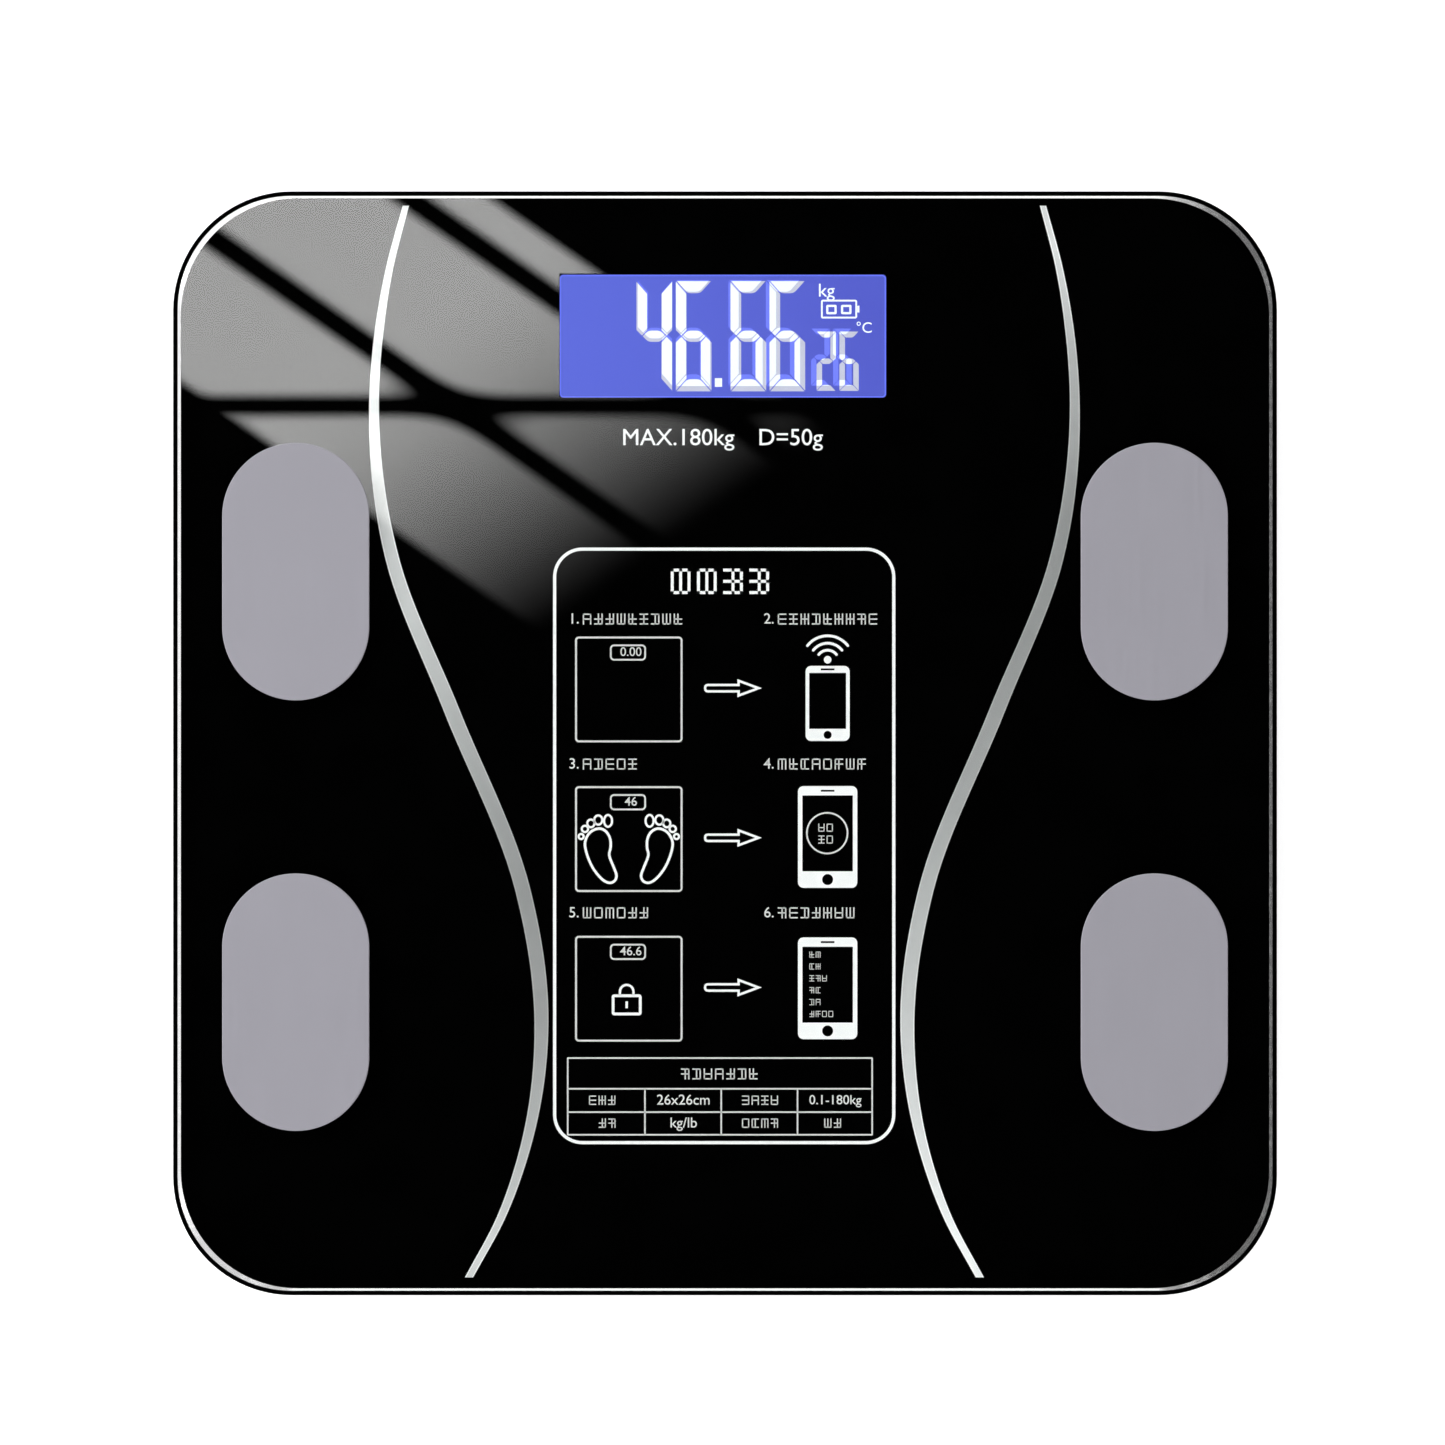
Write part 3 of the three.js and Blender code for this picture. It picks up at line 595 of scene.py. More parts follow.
def through(points, closed=False, steps=8):
    """A smooth curve through points, by Catmull-Rom spans."""
    count = len(points)
    spans = count if closed else count - 1
    curve = []
    for span in range(spans):
        if closed:
            a, b, c, d = (points[(span + k) % count] for k in (-1, 0, 1, 2))
        else:
            a, b, c, d = (points[min(max(span + k, 0), count - 1)] for k in (-1, 0, 1, 2))
        for i in range(steps):
            t = i / steps
            weights = (-t + 2 * t * t - t ** 3, 2 - 5 * t * t + 3 * t ** 3, t + 4 * t * t - 3 * t ** 3,
                       t ** 3 - t * t)
            near_points = list(zip(weights, (a, b, c, d)))
            curve.append(tuple(sum(w * p[axis] for w, p in near_points) / 2 for axis in (0, 1)))
    if not closed:
        curve.append(points[-1])
    return curve


# ---------------------------------------------------------------- repeated parts

def grown(name, works, values):
    """Runs a geometry tree on an empty piece with its named inputs filled, and keeps the plain mesh."""
    piece = make_object(name, [], [])
    step = piece.modifiers.new("grow", "NODES")
    step.node_group = works.tree
    for item in works.tree.interface.items_tree:
        if item.in_out == "INPUT":
            step[item.identifier] = values[item.name]
    bpy.context.view_layer.update()
    mesh = bpy.data.meshes.new_from_object(piece.evaluated_get(bpy.context.evaluated_depsgraph_get()))
    piece.modifiers.clear()
    piece.data = mesh
    return piece


def geometry_works(name, inputs):
    """An empty geometry tree with named inputs; returns it with a reader of those inputs."""
    works = Works(bpy.data.node_groups.new(name, "GeometryNodeTree"))
    works.tree.interface.new_socket("Geometry", in_out="OUTPUT", socket_type="NodeSocketGeometry")
    for label, kind in inputs.items():
        works.tree.interface.new_socket(label, in_out="INPUT", socket_type="NodeSocket" + kind)
    entry = works.tree.nodes.new("NodeGroupInput")
    return works, lambda label: Value(works, entry.outputs[label])


def finish_growth(works, points, shape, finish, turn=None):
    """Stands the shape on every point, as real mesh with its finish."""
    inputs = {"Points": points, "Instance": shape}
    if turn:
        inputs["Rotation"] = turn
    copies = works.add("GeometryNodeInstanceOnPoints", inputs=inputs)
    real = works.add("GeometryNodeRealizeInstances", inputs={0: copies})
    dressed = works.add("GeometryNodeSetMaterial", inputs={"Geometry": real, "Material": finish})
    result = works.tree.nodes.new("NodeGroupOutput")
    works.tree.links.new(dressed.socket, result.inputs[0])


def row_works():
    """Copies of one shape at even steps along a line."""
    kinds = {"Shape": "Object", "Count": "Int", "Start": "Vector", "Step": "Vector", "Finish": "Material"}
    works, read = geometry_works("row_of_copies", kinds)
    inputs = {"Count": read("Count"), "Start Location": read("Start"), "Offset": read("Step")}
    line = works.add("GeometryNodeMeshLine", {"mode": "OFFSET"}, inputs)
    shape = works.add("GeometryNodeObjectInfo", inputs={"Object": read("Shape")}, output="Geometry")
    finish_growth(works, line, shape, read("Finish"))
    return works


def board_works():
    """Small soldered parts on a grid, with some places left empty at random."""
    kinds = {"Width": "Float", "Depth": "Float", "Columns": "Int", "Rows": "Int", "Filled": "Float",
             "Seed": "Int", "Size": "Vector", "Finish": "Material"}
    works, read = geometry_works("board_parts", kinds)
    spread = {"Size X": read("Width"), "Size Y": read("Depth"),
              "Vertices X": read("Columns"), "Vertices Y": read("Rows")}
    grid = works.add("GeometryNodeMeshGrid", inputs=spread)
    empty = works.add("FunctionNodeRandomValue", {"data_type": "BOOLEAN"},
                      {"Probability": read("Filled"), "Seed": read("Seed")}, output=3)
    kept = works.add("GeometryNodeDeleteGeometry", inputs={0: grid, 1: empty})
    body = works.add("GeometryNodeMeshCube", inputs={"Size": read("Size")})
    quarter = works.add("FunctionNodeRandomValue", {"data_type": "INT"}, {4: 0, 5: 1, "Seed": read("Seed")},
                        output=2)
    angle = works.add("Math", {"operation": "MULTIPLY"}, {0: quarter, 1: pi / 2})
    turn = works.add("CombineXYZ", inputs={2: angle})
    finish_growth(works, kept, body, read("Finish"), turn)
    return works


# ---------------------------------------------------------------- platform

def glass_outline(inset, corner):
    half = GLASS_HALF - inset * MM
    return rounded_rect(half, half, corner * MM)


def bevel_outline():
    """The inner line of the ground chamfer, which is a little wider on the two sides."""
    across, along = CHAMFER["inner"]
    return rounded_rect(GLASS_HALF - across * MM, GLASS_HALF - along * MM, CHAMFER["inner_corner"] * MM)


def arris(proud=0.0):
    """Inset and height up the rounded outer edge, a little proud of the glass or sunk in it."""
    chamfer_low = GLASS_HIGH.z / MM - CHAMFER["drop"]
    points = []
    for i in range(ARRIS["steps"] + 1):
        angle = pi / 2 * i / ARRIS["steps"]
        inset = CHAMFER["outer"] * (1 - cos(angle)) - proud * cos(angle)
        height = chamfer_low - ARRIS["drop"] * (1 - sin(angle)) + proud * sin(angle)
        points.append((inset, height * MM))
    return points


def glass_sheet():
    """The tempered glass: an outer arris rounded to the ground chamfer, and a flat top."""
    loops = [(glass_outline(0.5, GLASS_CORNER - 0.5), GLASS_LOW.z),
             (glass_outline(0.0, GLASS_CORNER), GLASS_LOW.z + 0.5 * MM)]
    loops += [(glass_outline(inset, GLASS_CORNER - inset), height) for inset, height in arris()]
    loops.append((bevel_outline(), GLASS_HIGH.z))
    return carved("glass_sheet", stacked("glass_sheet", loops), cuts=stud_holes())


def edge_coat():
    """A skin of the black ink material round the arris, outside the bright chamfer: painted shade where the
    glass edge looks dark.
    """
    skin = arris(ARRIS["coat"])[1:] + arris(-ARRIS["coat"])[:0:-1]
    loops = [(glass_outline(inset, GLASS_CORNER - inset), height) for inset, height in skin]
    return stacked("edge_coat", loops, wrap=True)


def stud_holes():
    """Round cutters where the electrodes' studs pass through the glass."""
    cutters = []
    for end in ENDS:
        low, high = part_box(f"electrode_{end}")
        centre = ((low.x + high.x) / 2 / MM, (low.y + high.y) / 2 / MM)
        cutters.append(drum(2.5, GLASS_LOW.z / MM - 1, GLASS_HIGH.z / MM + 1, centre, 32))
    return cutters


def ground_chamfer():
    """A skin on the chamfer, where the glass is ground and not polished."""
    skin = 0.012 * MM
    out_line = glass_outline(CHAMFER["outer"], GLASS_CORNER - CHAMFER["outer"])
    in_line = bevel_outline()
    low, high = GLASS_HIGH.z - CHAMFER["drop"] * MM, GLASS_HIGH.z
    loops = [(out_line, low - skin), (out_line, low + skin), (in_line, high + skin), (in_line, high - skin)]
    return stacked("ground_chamfer", loops, wrap=True)


def black_print():
    """The black coat on the back of the glass, left open over the display."""
    bottom = GLASS_LOW.z + (PRINT["depth"] - PRINT["black"]) * MM
    sheet = Sheet(bottom, PRINT["black"] * MM)
    edge = 0.55
    half = GLASS_HALF / MM - edge
    window = rounded_rect(WINDOW["x"] / 2, WINDOW["y"] / 2, WINDOW["corner"], WINDOW_CENTRE)
    sheet.band(rounded_rect(half, half, GLASS_CORNER - edge), window)
    return carved("black_print", sheet.piece("black_print"), cuts=stud_holes())


def print_sheet(centre=(0.0, 0.0)):
    return Sheet(GLASS_LOW.z + PRINT["depth"] * MM, PRINT["white"] * MM, centre)


# The two waist lines: height, distance from the middle, and width there.
WAIST = [(126.8, 75.0, 1.5), (112.0, 78.85, 1.7), (98.0, 81.2, 2.05), (80.0, 82.5, 2.3),
         (43.2, 78.1, 3.3), (7.8, 64.2, 3.85), (-34.6, 47.4, 3.65), (-66.0, 43.0, 3.3),
         (-98.2, 47.6, 2.4), (-112.0, 52.6, 2.1), (-126.0, 60.1, 1.95)]
WAIST_BORDER = 0.3
# How far each line is moved across, by its side.
WAIST_SHIFT = {-1: -0.3, 1: 0.0}


def waist_curve(steps=12):
    """A waist line as rows of height, distance from the middle and width, with no kink at any row."""
    runs = [low[0] - high[0] for high, low in zip(WAIST, WAIST[1:])]
    rises = [Vector(low[1:]) - Vector(high[1:]) for high, low in zip(WAIST, WAIST[1:])]
    slopes = [rise / run for rise, run in zip(rises, runs)]
    leans = [slopes[0]]
    for i in range(1, len(slopes)):
        leans.append((slopes[i] * runs[i - 1] + slopes[i - 1] * runs[i]) / (runs[i - 1] + runs[i]))
    leans.append(slopes[-1])
    rows = []
    for i, run in enumerate(runs):
        for step in range(steps):
            t = step / steps
            row = Vector(WAIST[i][1:]) + rises[i] * (t * t * (3 - 2 * t))
            row += leans[i] * (run * t * (1 - t) ** 2) - leans[i + 1] * (run * t * t * (1 - t))
            rows.append((WAIST[i][0] + run * t, row.x, row.y))
    rows.append(WAIST[-1])
    return rows


def waist_strip(sheet, side, near, far):
    """Part of a waist line, between two offsets that are given for each width."""
    rows = waist_curve()
    left = [(side * (x + near(width)), y) for y, x, width in rows]
    right = [(side * (x + far(width)), y) for y, x, width in rows]
    sheet.plate(left + right[::-1])


def waist_name(stem, side):
    return f"{stem}_" + ("right" if side > 0 else "left")


def waist_core(side):
    sheet = print_sheet((WAIST_SHIFT[side], 0.0))
    waist_strip(sheet, side, lambda width: WAIST_BORDER - width / 2, lambda width: width / 2 - WAIST_BORDER)
    return sheet.piece(waist_name("waist_line", side))


def waist_borders(side):
    """The paler borders along both sides of a waist line."""
    sheet = print_sheet((WAIST_SHIFT[side], 0.0))
    waist_strip(sheet, side, lambda width: -width / 2, lambda width: WAIST_BORDER - width / 2)
    waist_strip(sheet, side, lambda width: width / 2 - WAIST_BORDER, lambda width: width / 2)
    return sheet.piece(waist_name("waist_border", side))


def greek_row(sheet, draw, left, middle, height, width, lead=None, strokes=4):
    """A row of small meaningless marks of the size of print, after an optional numeral."""
    x = left
    if lead:
        sheet.text(lead, height * 0.95, (x + height * 0.45, middle))
        x += height * 1.25
    stroke = height * 0.115
    cell = height * 0.92
    low, high = middle - height / 2, middle + height / 2
    while x + cell <= left + width + 0.01:
        right = x + cell * 0.84
        bars = draw.sample(range(6), strokes)
        for bar in bars:
            if bar < 3:
                y = low + (height - stroke) * bar / 2
                sheet.bar(x, right, y, y + stroke)
            else:
                column = x + (right - x - stroke) * (bar - 3) / 2
                sheet.bar(column, column + stroke, low, high)
        x += cell * 1.12


def scale_icon(sheet, centre):
    """A square platform with its small readout."""
    x, y = centre
    sheet.frame(12.45, 12.25, 0.7, 0.45, centre)
    sheet.frame(4.05, 1.7, 0.8, 0.4, (x - 0.2, y + 8.7))


def arrow_icon(sheet, centre):
    """An outlined arrow to the right, with a round tail."""
    x, y = centre
    tail, neck, tip = x - 6.3, x + 1.6, x + 6.3
    shaft, head = 0.75, 1.75
    outline = [(tail, y - shaft), (neck, y - shaft), (neck, y - head), (tip, y), (neck, y + head),
               (neck, y + shaft), (tail, y + shaft)]
    sheet.loop(eased(outline, (0, 6), 0.7), 0.55)


def phone_icon(sheet, centre, width, height, rim, screen, button):
    """A telephone: a white body with its screen, slot and button left open."""
    x, y = centre
    low, high = screen
    half_x, half_y = width / 2, height / 2
    body = rounded_rect(half_x, half_y, 1.3, centre, 6)
    opening = rounded_rect(half_x - rim, (high - low) / 2, 0.08, (x, y + (low + high) / 2), 6)
    sheet.band(body, opening)
    return [("disc", button, (x, y + (low - half_y) / 2)), ("slot", 0.22, (x, y + (high + half_y) / 2))]


def signal_icon(sheet, centre):
    """A dot with three arcs above it."""
    x, y = centre
    sheet.disc(0.9, (x, y))
    for radius in (2.65, 4.3, 6.05):
        angles = [radians(a) for a in range(-52, 53, 4)]
        arc = [(x + radius * sin(a), y - 0.4 + radius * cos(a)) for a in angles]
        sheet.line(arc, 0.62, 5)


# A sole from the ball down its inner side, round the heel and up its outer side; toes with their two radii.
SOLE = [(7.0, 4.1), (5.3, 3.3), (4.4, 1.6), (4.3, -0.4), (4.6, -2.3), (3.5, -5.2), (2.9, -7.0), (3.4, -8.3),
        (4.8, -8.7), (6.6, -7.6), (8.6, -5.0), (10.0, -1.6), (10.3, 1.0), (9.1, 3.2)]
TOES = [((4.9, 5.9), 0.95, 1.4), ((7.2, 6.1), 0.95, 1.1), ((8.95, 5.3), 0.85, 0.92),
        ((10.35, 4.0), 0.75, 0.75), ((11.25, 2.2), 0.6, 0.6)]


def foot_icon(sheet, centre, side):
    """The outline of a bare sole with five toes; side is +1 for the right foot."""
    x, y = centre
    sheet.loop([(x + side * px, y + py) for px, py in through(SOLE, True, 4)], 0.6)
    for (px, py), across, along in TOES:
        sheet.loop(circle(across, (x + side * px, y + py), 18, along / across), 0.5)


def padlock_icon(sheet, centre):
    x, y = centre
    sheet.frame(3.2, 2.15, 0.3, 0.65, (x, y - 1.3))
    arch = [(x + 1.6 * cos(radians(a)), y + 1.8 + 1.6 * sin(radians(a))) for a in range(0, 181, 15)]
    sheet.line([(x + 1.6, y + 1.0), *arch, (x - 1.6, y + 1.0)], 0.55)
    sheet.bar(x - 0.28, x + 0.28, y - 2.1, y - 0.5)


def table_lines(sheet, centre, width, height, rows, columns):
    x, y = centre
    line = 0.36
    sheet.frame(width / 2, height / 2, 0.05, line, centre, 2)
    for row in rows:
        sheet.bar(x - width / 2, x + width / 2, row - line / 2, row + line / 2)
    for column in columns:
        sheet.bar(column - line / 2, column + line / 2, y - height / 2, rows[0])


ICON_ROWS = (37.1, 1.8, -33.5)
CAPTION_ROWS = (53.5, 19.3, -15.8)


def panel_print():
    """The bold white print of the instruction panel: border, telephones, arrows and signs."""
    sheet = print_sheet(PANEL["centre"])
    sheet.frame(PANEL["x"] / 2, PANEL["y"] / 2, PANEL["corner"], PANEL["line"], steps=16)
    for row in ICON_ROWS:
        arrow_icon(sheet, (1.8, row + 0.1))
    openings = phone_icon(sheet, (24.4, 33.6), 10.4, 17.7, 0.85, (-6.0, 7.2), 0.95)
    openings += phone_icon(sheet, (24.4, 2.1), 14.0, 24.0, 1.05, (-8.1, 9.8), 1.3)
    openings += phone_icon(sheet, (24.4, -33.6), 14.0, 24.0, 1.05, (-8.1, 9.8), 1.3)
    signal_icon(sheet, (24.4, 43.9))
    for side in (-1, 1):
        foot_icon(sheet, (-22.5, 0.0), side)
    padlock_icon(sheet, (-23.0, -36.2))
    return sheet.piece("panel_print"), openings


def panel_openings(openings):
    """The black button and speaker slot of each telephone sign, printed over its white body."""
    sheet = Sheet(GLASS_LOW.z + (PRINT["depth"] + PRINT["white"]) * MM, 0.006 * MM, PANEL["centre"])
    for kind, size, (x, y) in openings:
        if kind == "disc":
            sheet.disc(size, (x, y))
        else:
            sheet.bar(x - 1.6, x + 1.6, y - size, y + size)
    return sheet.piece("panel_openings")


def panel_fine_print():
    """The thin print of the panel: frames, captions, tables and readings."""
    draw = random.Random(7)
    sheet = print_sheet(PANEL["centre"])
    for row in ICON_ROWS:
        scale_icon(sheet, (-22.5, row - 0.2))
    for value, row in (("0.00", ICON_ROWS[0]), ("46", ICON_ROWS[1]), ("46.6", ICON_ROWS[2])):
        sheet.text(value, 2.1, (-22.0, row + 8.6))
    lefts, rights = (29.3, 18.9, 21.7), (29.0, 24.6, 24.3)
    for row, (y, left_width, right_width) in enumerate(zip(CAPTION_ROWS, lefts, rights)):
        greek_row(sheet, draw, -36.6, y, 2.6, left_width, f"{2 * row + 1}.")
        greek_row(sheet, draw, 9.4, y, 2.6, right_width, f"{2 * row + 2}.")
    greek_row(sheet, draw, 22.2, 4.3, 1.9, 4.6)
    greek_row(sheet, draw, 22.2, 1.5, 1.9, 4.6)
    sheet.loop(circle(4.8, (24.3, 3.0), 48), 0.38)
    for i, count in enumerate((2, 2, 3, 2, 2, 4)):
        greek_row(sheet, draw, 20.1, -25.65 - 2.8 * i, 1.45, 1.52 * count)
    table_lines(sheet, (-1.0, -59.1), 71.8, 18.1, (-57.3, -62.8), (-18.7, -0.7, 17.3))
    greek_row(sheet, draw, -10.2, -53.8, 2.6, 21.0)
    greek_row(sheet, draw, -31.9, -60.0, 2.2, 8.8)
    sheet.text("26x26cm", 2.4, (-9.6, -60.0))
    greek_row(sheet, draw, 4.2, -60.0, 2.2, 9.0)
    sheet.text("0.1-180kg", 2.2, (26.2, -60.0))
    greek_row(sheet, draw, -29.6, -65.4, 2.2, 4.3)
    sheet.text("kg/lb", 2.4, (-9.6, -65.4))
    greek_row(sheet, draw, 4.2, -65.4, 2.2, 9.0)
    greek_row(sheet, draw, 23.6, -65.4, 2.2, 6.4)
    return sheet.piece("panel_fine_print")


def heading_print():
    """Four block marks in place of a heading, and the weighing range above the panel."""
    draw = random.Random(19)
    sheet = print_sheet(PANEL["centre"])
    greek_row(sheet, draw, -12.6, 62.4, 6.0, 25.6, strokes=5)
    sheet.centre = (0.0, CAPACITY["y"])
    sheet.text("MAX.180kg", CAPACITY["height"], (-11.1, 0.0))
    sheet.text("D=50g", CAPACITY["height"], (15.4, 0.0))
    return sheet.piece("heading_print")


# ---------------------------------------------------------------- display

SEGMENTS = {"2": "abged", "4": "fgbc", "6": "afgedc"}


def eased(points, corners, reach):
    """The same outline with some of its corners rounded off."""
    outline = []
    for i, point in enumerate(points):
        if i not in corners:
            outline.append(point)
            continue
        corner, before, after = Vector(point), Vector(points[i - 1]), Vector(points[(i + 1) % len(points)])
        start = corner + (before - corner).normalized() * reach
        end = corner + (after - corner).normalized() * reach
        for t in (0.0, 0.33, 0.67, 1.0):
            spot = start.lerp(corner, t).lerp(corner.lerp(end, t), t)
            outline.append((spot.x, spot.y))
    return outline


def segment_shapes(left, size):
    """The seven mitred bars of one digit, by letter; bars across are deeper than bars up are wide."""
    x0, x1 = left, left + size["width"]
    y0, y1 = size["bottom"], size["bottom"] + size["height"]
    wide, deep, gap = size["wide"], size["deep"], size["gap"]
    middle = (y0 + y1) / 2
    half_x, half_y = wide * 0.52, deep * 0.46
    shapes = {}
    for letter, edge, inner in (("a", y1, y1 - deep), ("d", y0, y0 + deep)):
        bar = [(x0 + gap, edge), (x1 - gap, edge), (x1 - wide - gap, inner), (x0 + wide + gap, inner)]
        shapes[letter] = eased(bar, (2, 3), 0.3 * deep)
    for letter, x, side in (("f", x0, 1), ("b", x1, -1), ("e", x0, 1), ("c", x1, -1)):
        edge, away = (y1, -1) if letter in "fb" else (y0, 1)
        foot = middle - away * (half_y + gap)
        shapes[letter] = [(x, edge + away * gap), (x + side * wide, edge + away * (deep + gap)),
                          (x + side * wide, foot), (x + side * half_x, middle - away * gap), (x, foot)]
    near, far = half_x + gap, wide + 2 * gap
    bar = [(x0 + near, middle), (x0 + far, middle + half_y), (x1 - far, middle + half_y),
           (x1 - near, middle), (x1 - far, middle - half_y), (x0 + far, middle - half_y)]
    shapes["g"] = eased(bar, (1, 2, 4, 5), 0.25 * deep)
    return shapes


LARGE_DIGITS = [("4", -20.4), ("6", -11.1), ("6", 1.8), ("6", 11.0)]
SMALL_DIGITS = [("2", 22.1), ("6", 27.5)]
LARGE = {"bottom": -13.0, "width": 8.4, "height": 26.0, "wide": 2.5, "deep": 2.85, "gap": 0.16}
SMALL = {"bottom": -12.9, "width": 4.55, "height": 14.0, "wide": 1.3, "deep": 1.4, "gap": 0.09}
# The painted reflection of the bars on the layer below them shows them again, smaller about this point.
ECHO = {"centre": (-11.5, 19.5), "scale": 0.9615}


def digit_bars():
    for digits, size in ((LARGE_DIGITS, LARGE), (SMALL_DIGITS, SMALL)):
        for digit, left in digits:
            shapes = segment_shapes(left, size)
            for letter in SEGMENTS[digit]:
                points = shapes[letter]
                yield points if signed_area(points) > 0 else points[::-1]


def echoed(points):
    (x0, y0), scale = ECHO["centre"], ECHO["scale"]
    return [(x0 + (x - x0) * scale, y0 + (y - y0) * scale) for x, y in points]


def overlap(points, window):
    """The part of one convex outline that lies inside another; both run anticlockwise."""
    for (ax, ay), (bx, by) in zip(window, window[1:] + window[:1]):
        depths = [(bx - ax) * (y - ay) - (by - ay) * (x - ax) for x, y in points]
        kept = []
        for i, (point, depth) in enumerate(zip(points, depths)):
            last, last_depth = points[i - 1], depths[i - 1]
            if (depth > 0) != (last_depth > 0):
                t = last_depth / (last_depth - depth)
                kept.append((last[0] + (point[0] - last[0]) * t, last[1] + (point[1] - last[1]) * t))
            if depth > 0:
                kept.append(point)
        points = kept
        if len(points) < 3:
            return []
    return points


def display_sheet(level, thickness=0.01):
    return Sheet(LCD_HIGH.z + level * MM, thickness * MM, WINDOW_CENTRE)


def display_field():
    sheet = Sheet(LCD_HIGH.z + 0.002 * MM, 0.02 * MM, (0.0, LCD_CENTRE.y / MM))
    sheet.plate(rounded_rect(39.0, 14.8, 1.0, (0, 0), 6))
    return sheet.piece("display_field")


def display_rim():
    """The thin brighter edge where the lamp light leaves the panel."""
    sheet = display_sheet(0.026)
    border = WINDOW["border"]
    half_x, half_y = (WINDOW["x"] - border) / 2, (WINDOW["y"] - border) / 2
    sheet.frame(half_x, half_y, WINDOW["corner"], border, steps=6)
    return sheet.piece("display_rim")


def display_echo():
    """The paler blue image of the bars on the layer below them, a painted reflection."""
    sheet = display_sheet(0.026)
    for points in digit_bars():
        sheet.plate(echoed(points))
    return sheet.piece("display_echo")


def display_bars():
    """The bars of the digits, grey-white where nothing below them shines through."""
    sheet = display_sheet(0.042)
    for points in digit_bars():
        sheet.plate(points)
    return sheet.piece("display_bars")


def display_bright():
    """The brightest light: where bars and their image meet, with the point and the small signs."""
    sheet = display_sheet(0.056)
    bars = list(digit_bars())
    images = [echoed(points) for points in bars]
    for points in bars:
        for image in images:
            common = overlap(points, image)
            if len(common) > 2 and signed_area(common) > 0.02:
                sheet.plate(common)
    sheet.bar(-1.9, -0.2, -11.95, -9.9)
    sheet.text("kg", 3.1, (24.4, 10.7))
    sheet.frame(4.05, 2.0, 0.25, 0.42, (27.4, 6.4))
    sheet.bar(31.7, 32.2, 5.6, 7.2)
    for x in (25.6, 29.1):
        sheet.frame(0.98, 0.86, 0.1, 0.52, (x, 6.3))
    sheet.text("°C", 2.5, (33.3, 1.9))
    return sheet.piece("display_bright")


# ---------------------------------------------------------------- electrodes

def electrode_plate(name):
    """A pressed stainless pad with a soft edge."""
    low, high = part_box(f"electrode_{name}")
    centre = ((low.x + high.x) / 2, (low.y + high.y) / 2)
    half_x, half_y = (high.x - low.x) / 2, (high.y - low.y) / 2
    edge = 0.18 * MM
    loops = []
    for inset, z in ((0.0, low.z), (0.0, high.z - edge), (0.3 * edge, high.z - 0.3 * edge), (edge, high.z)):
        loops.append((rounded_rect(half_x - inset, half_y - inset, half_x - inset - 1e-6, centre, 36), z))
    return stacked(f"electrode_plate_{name}", loops)


# ---------------------------------------------------------------- underside

TRAY = {"half": TRAY_HIGH.x / MM, "corner": 22.0, "bottom": TRAY_LOW.z / MM, "top": TRAY_HIGH.z / MM,
        "wall": 2.0, "curve_height": 12.0, "curve_inset": 6.0, "ledge": (1.0, 9.5), "ledge_thick": 2.0}
RIBS = {"cross": (48.0, -52.0), "along": (-48.0, 48.0), "reach": 112.0, "rear": 66.0, "half": 0.75,
        "top": 9.0}
FOOT = {"hole": 18.0, "well": (20.5, 22.0), "well_top": 9.8, "collar": 20.4, "collar_low": 3.5}
POST = {"x": 50.5, "y": (78.0, 109.0), "radius": 3.5, "bore": 1.5, "low": 6.6, "high": 11.3}
BUTTON = {"x": -32.0, "y": 84.0, "hole": 4.3, "dish": 7.0, "dish_depth": 0.35}
# The blocks and hollows of the battery bay: half width, front, rear and top.
BAY = {"casing": (15.0, -34.0, 25.0, 18.5), "hinge_boss": (17.5, 24.8, 30.0, 8.2),
       "latch_boss": (7.0, -39.4, -33.0, 10.4), "cells": (12.0, -31.0, 21.0, 17.0),
       "mouth": (13.8, -32.8, 25.5, 5.9), "latch_slot": (5.6, -38.0, -32.8, 9.2)}
COVER = {"half": 13.4, "front": -32.4, "rear": 24.8, "low": 4.0, "high": 5.6}
HINGE = {"y": 26.5, "z": 5.3, "lug": 1.3, "pin": 0.8, "lug_ends": (11.0, 13.4), "pin_end": 15.4,
         "bore": 0.95, "bore_ends": (12.8, 15.9), "recess": (10.6, 13.8), "recess_y": (24.6, 28.9),
         "recess_top": 7.2}
RIDGE = {"half": 6.5, "width": 1.0, "low": 3.65, "count": 6, "first": -29.6, "step": 1.9}
SCOOP = {"radius": 12.0, "y": -43.0, "depth": 1.1}
LABEL = {"x": 36.0, "y": 17.0, "centre": (0.0, -84.0), "depth": 0.35, "corner": 2.0}
GROOVE = {"half": 114.0, "width": 1.1, "depth": 0.45, "corner": 14.0}


def edge_levels(bottom, top, steps=12):
    """Inset and height up the tray's rounded lower edge and its straight wall."""
    angles = [pi / 2 * i / steps for i in range(steps + 1)]
    inset, rise = TRAY["curve_inset"], TRAY["curve_height"]
    curve = [(inset * (1 - sin(a)), bottom + rise * (1 - cos(a))) for a in angles]
    return [*curve, (0.0, top)]


def foot_places():
    """Centres of the four feet in millimetres, by end."""
    places = {}
    for end in ENDS:
        low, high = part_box(f"foot_cup_{end}")
        places[end] = ((low.x + high.x) / 2 / MM, (low.y + high.y) / 2 / MM)
    return places


def bay_block(name, low):
    half, front, rear, top = BAY[name]
    return block(-half, half, front, rear, low, top)


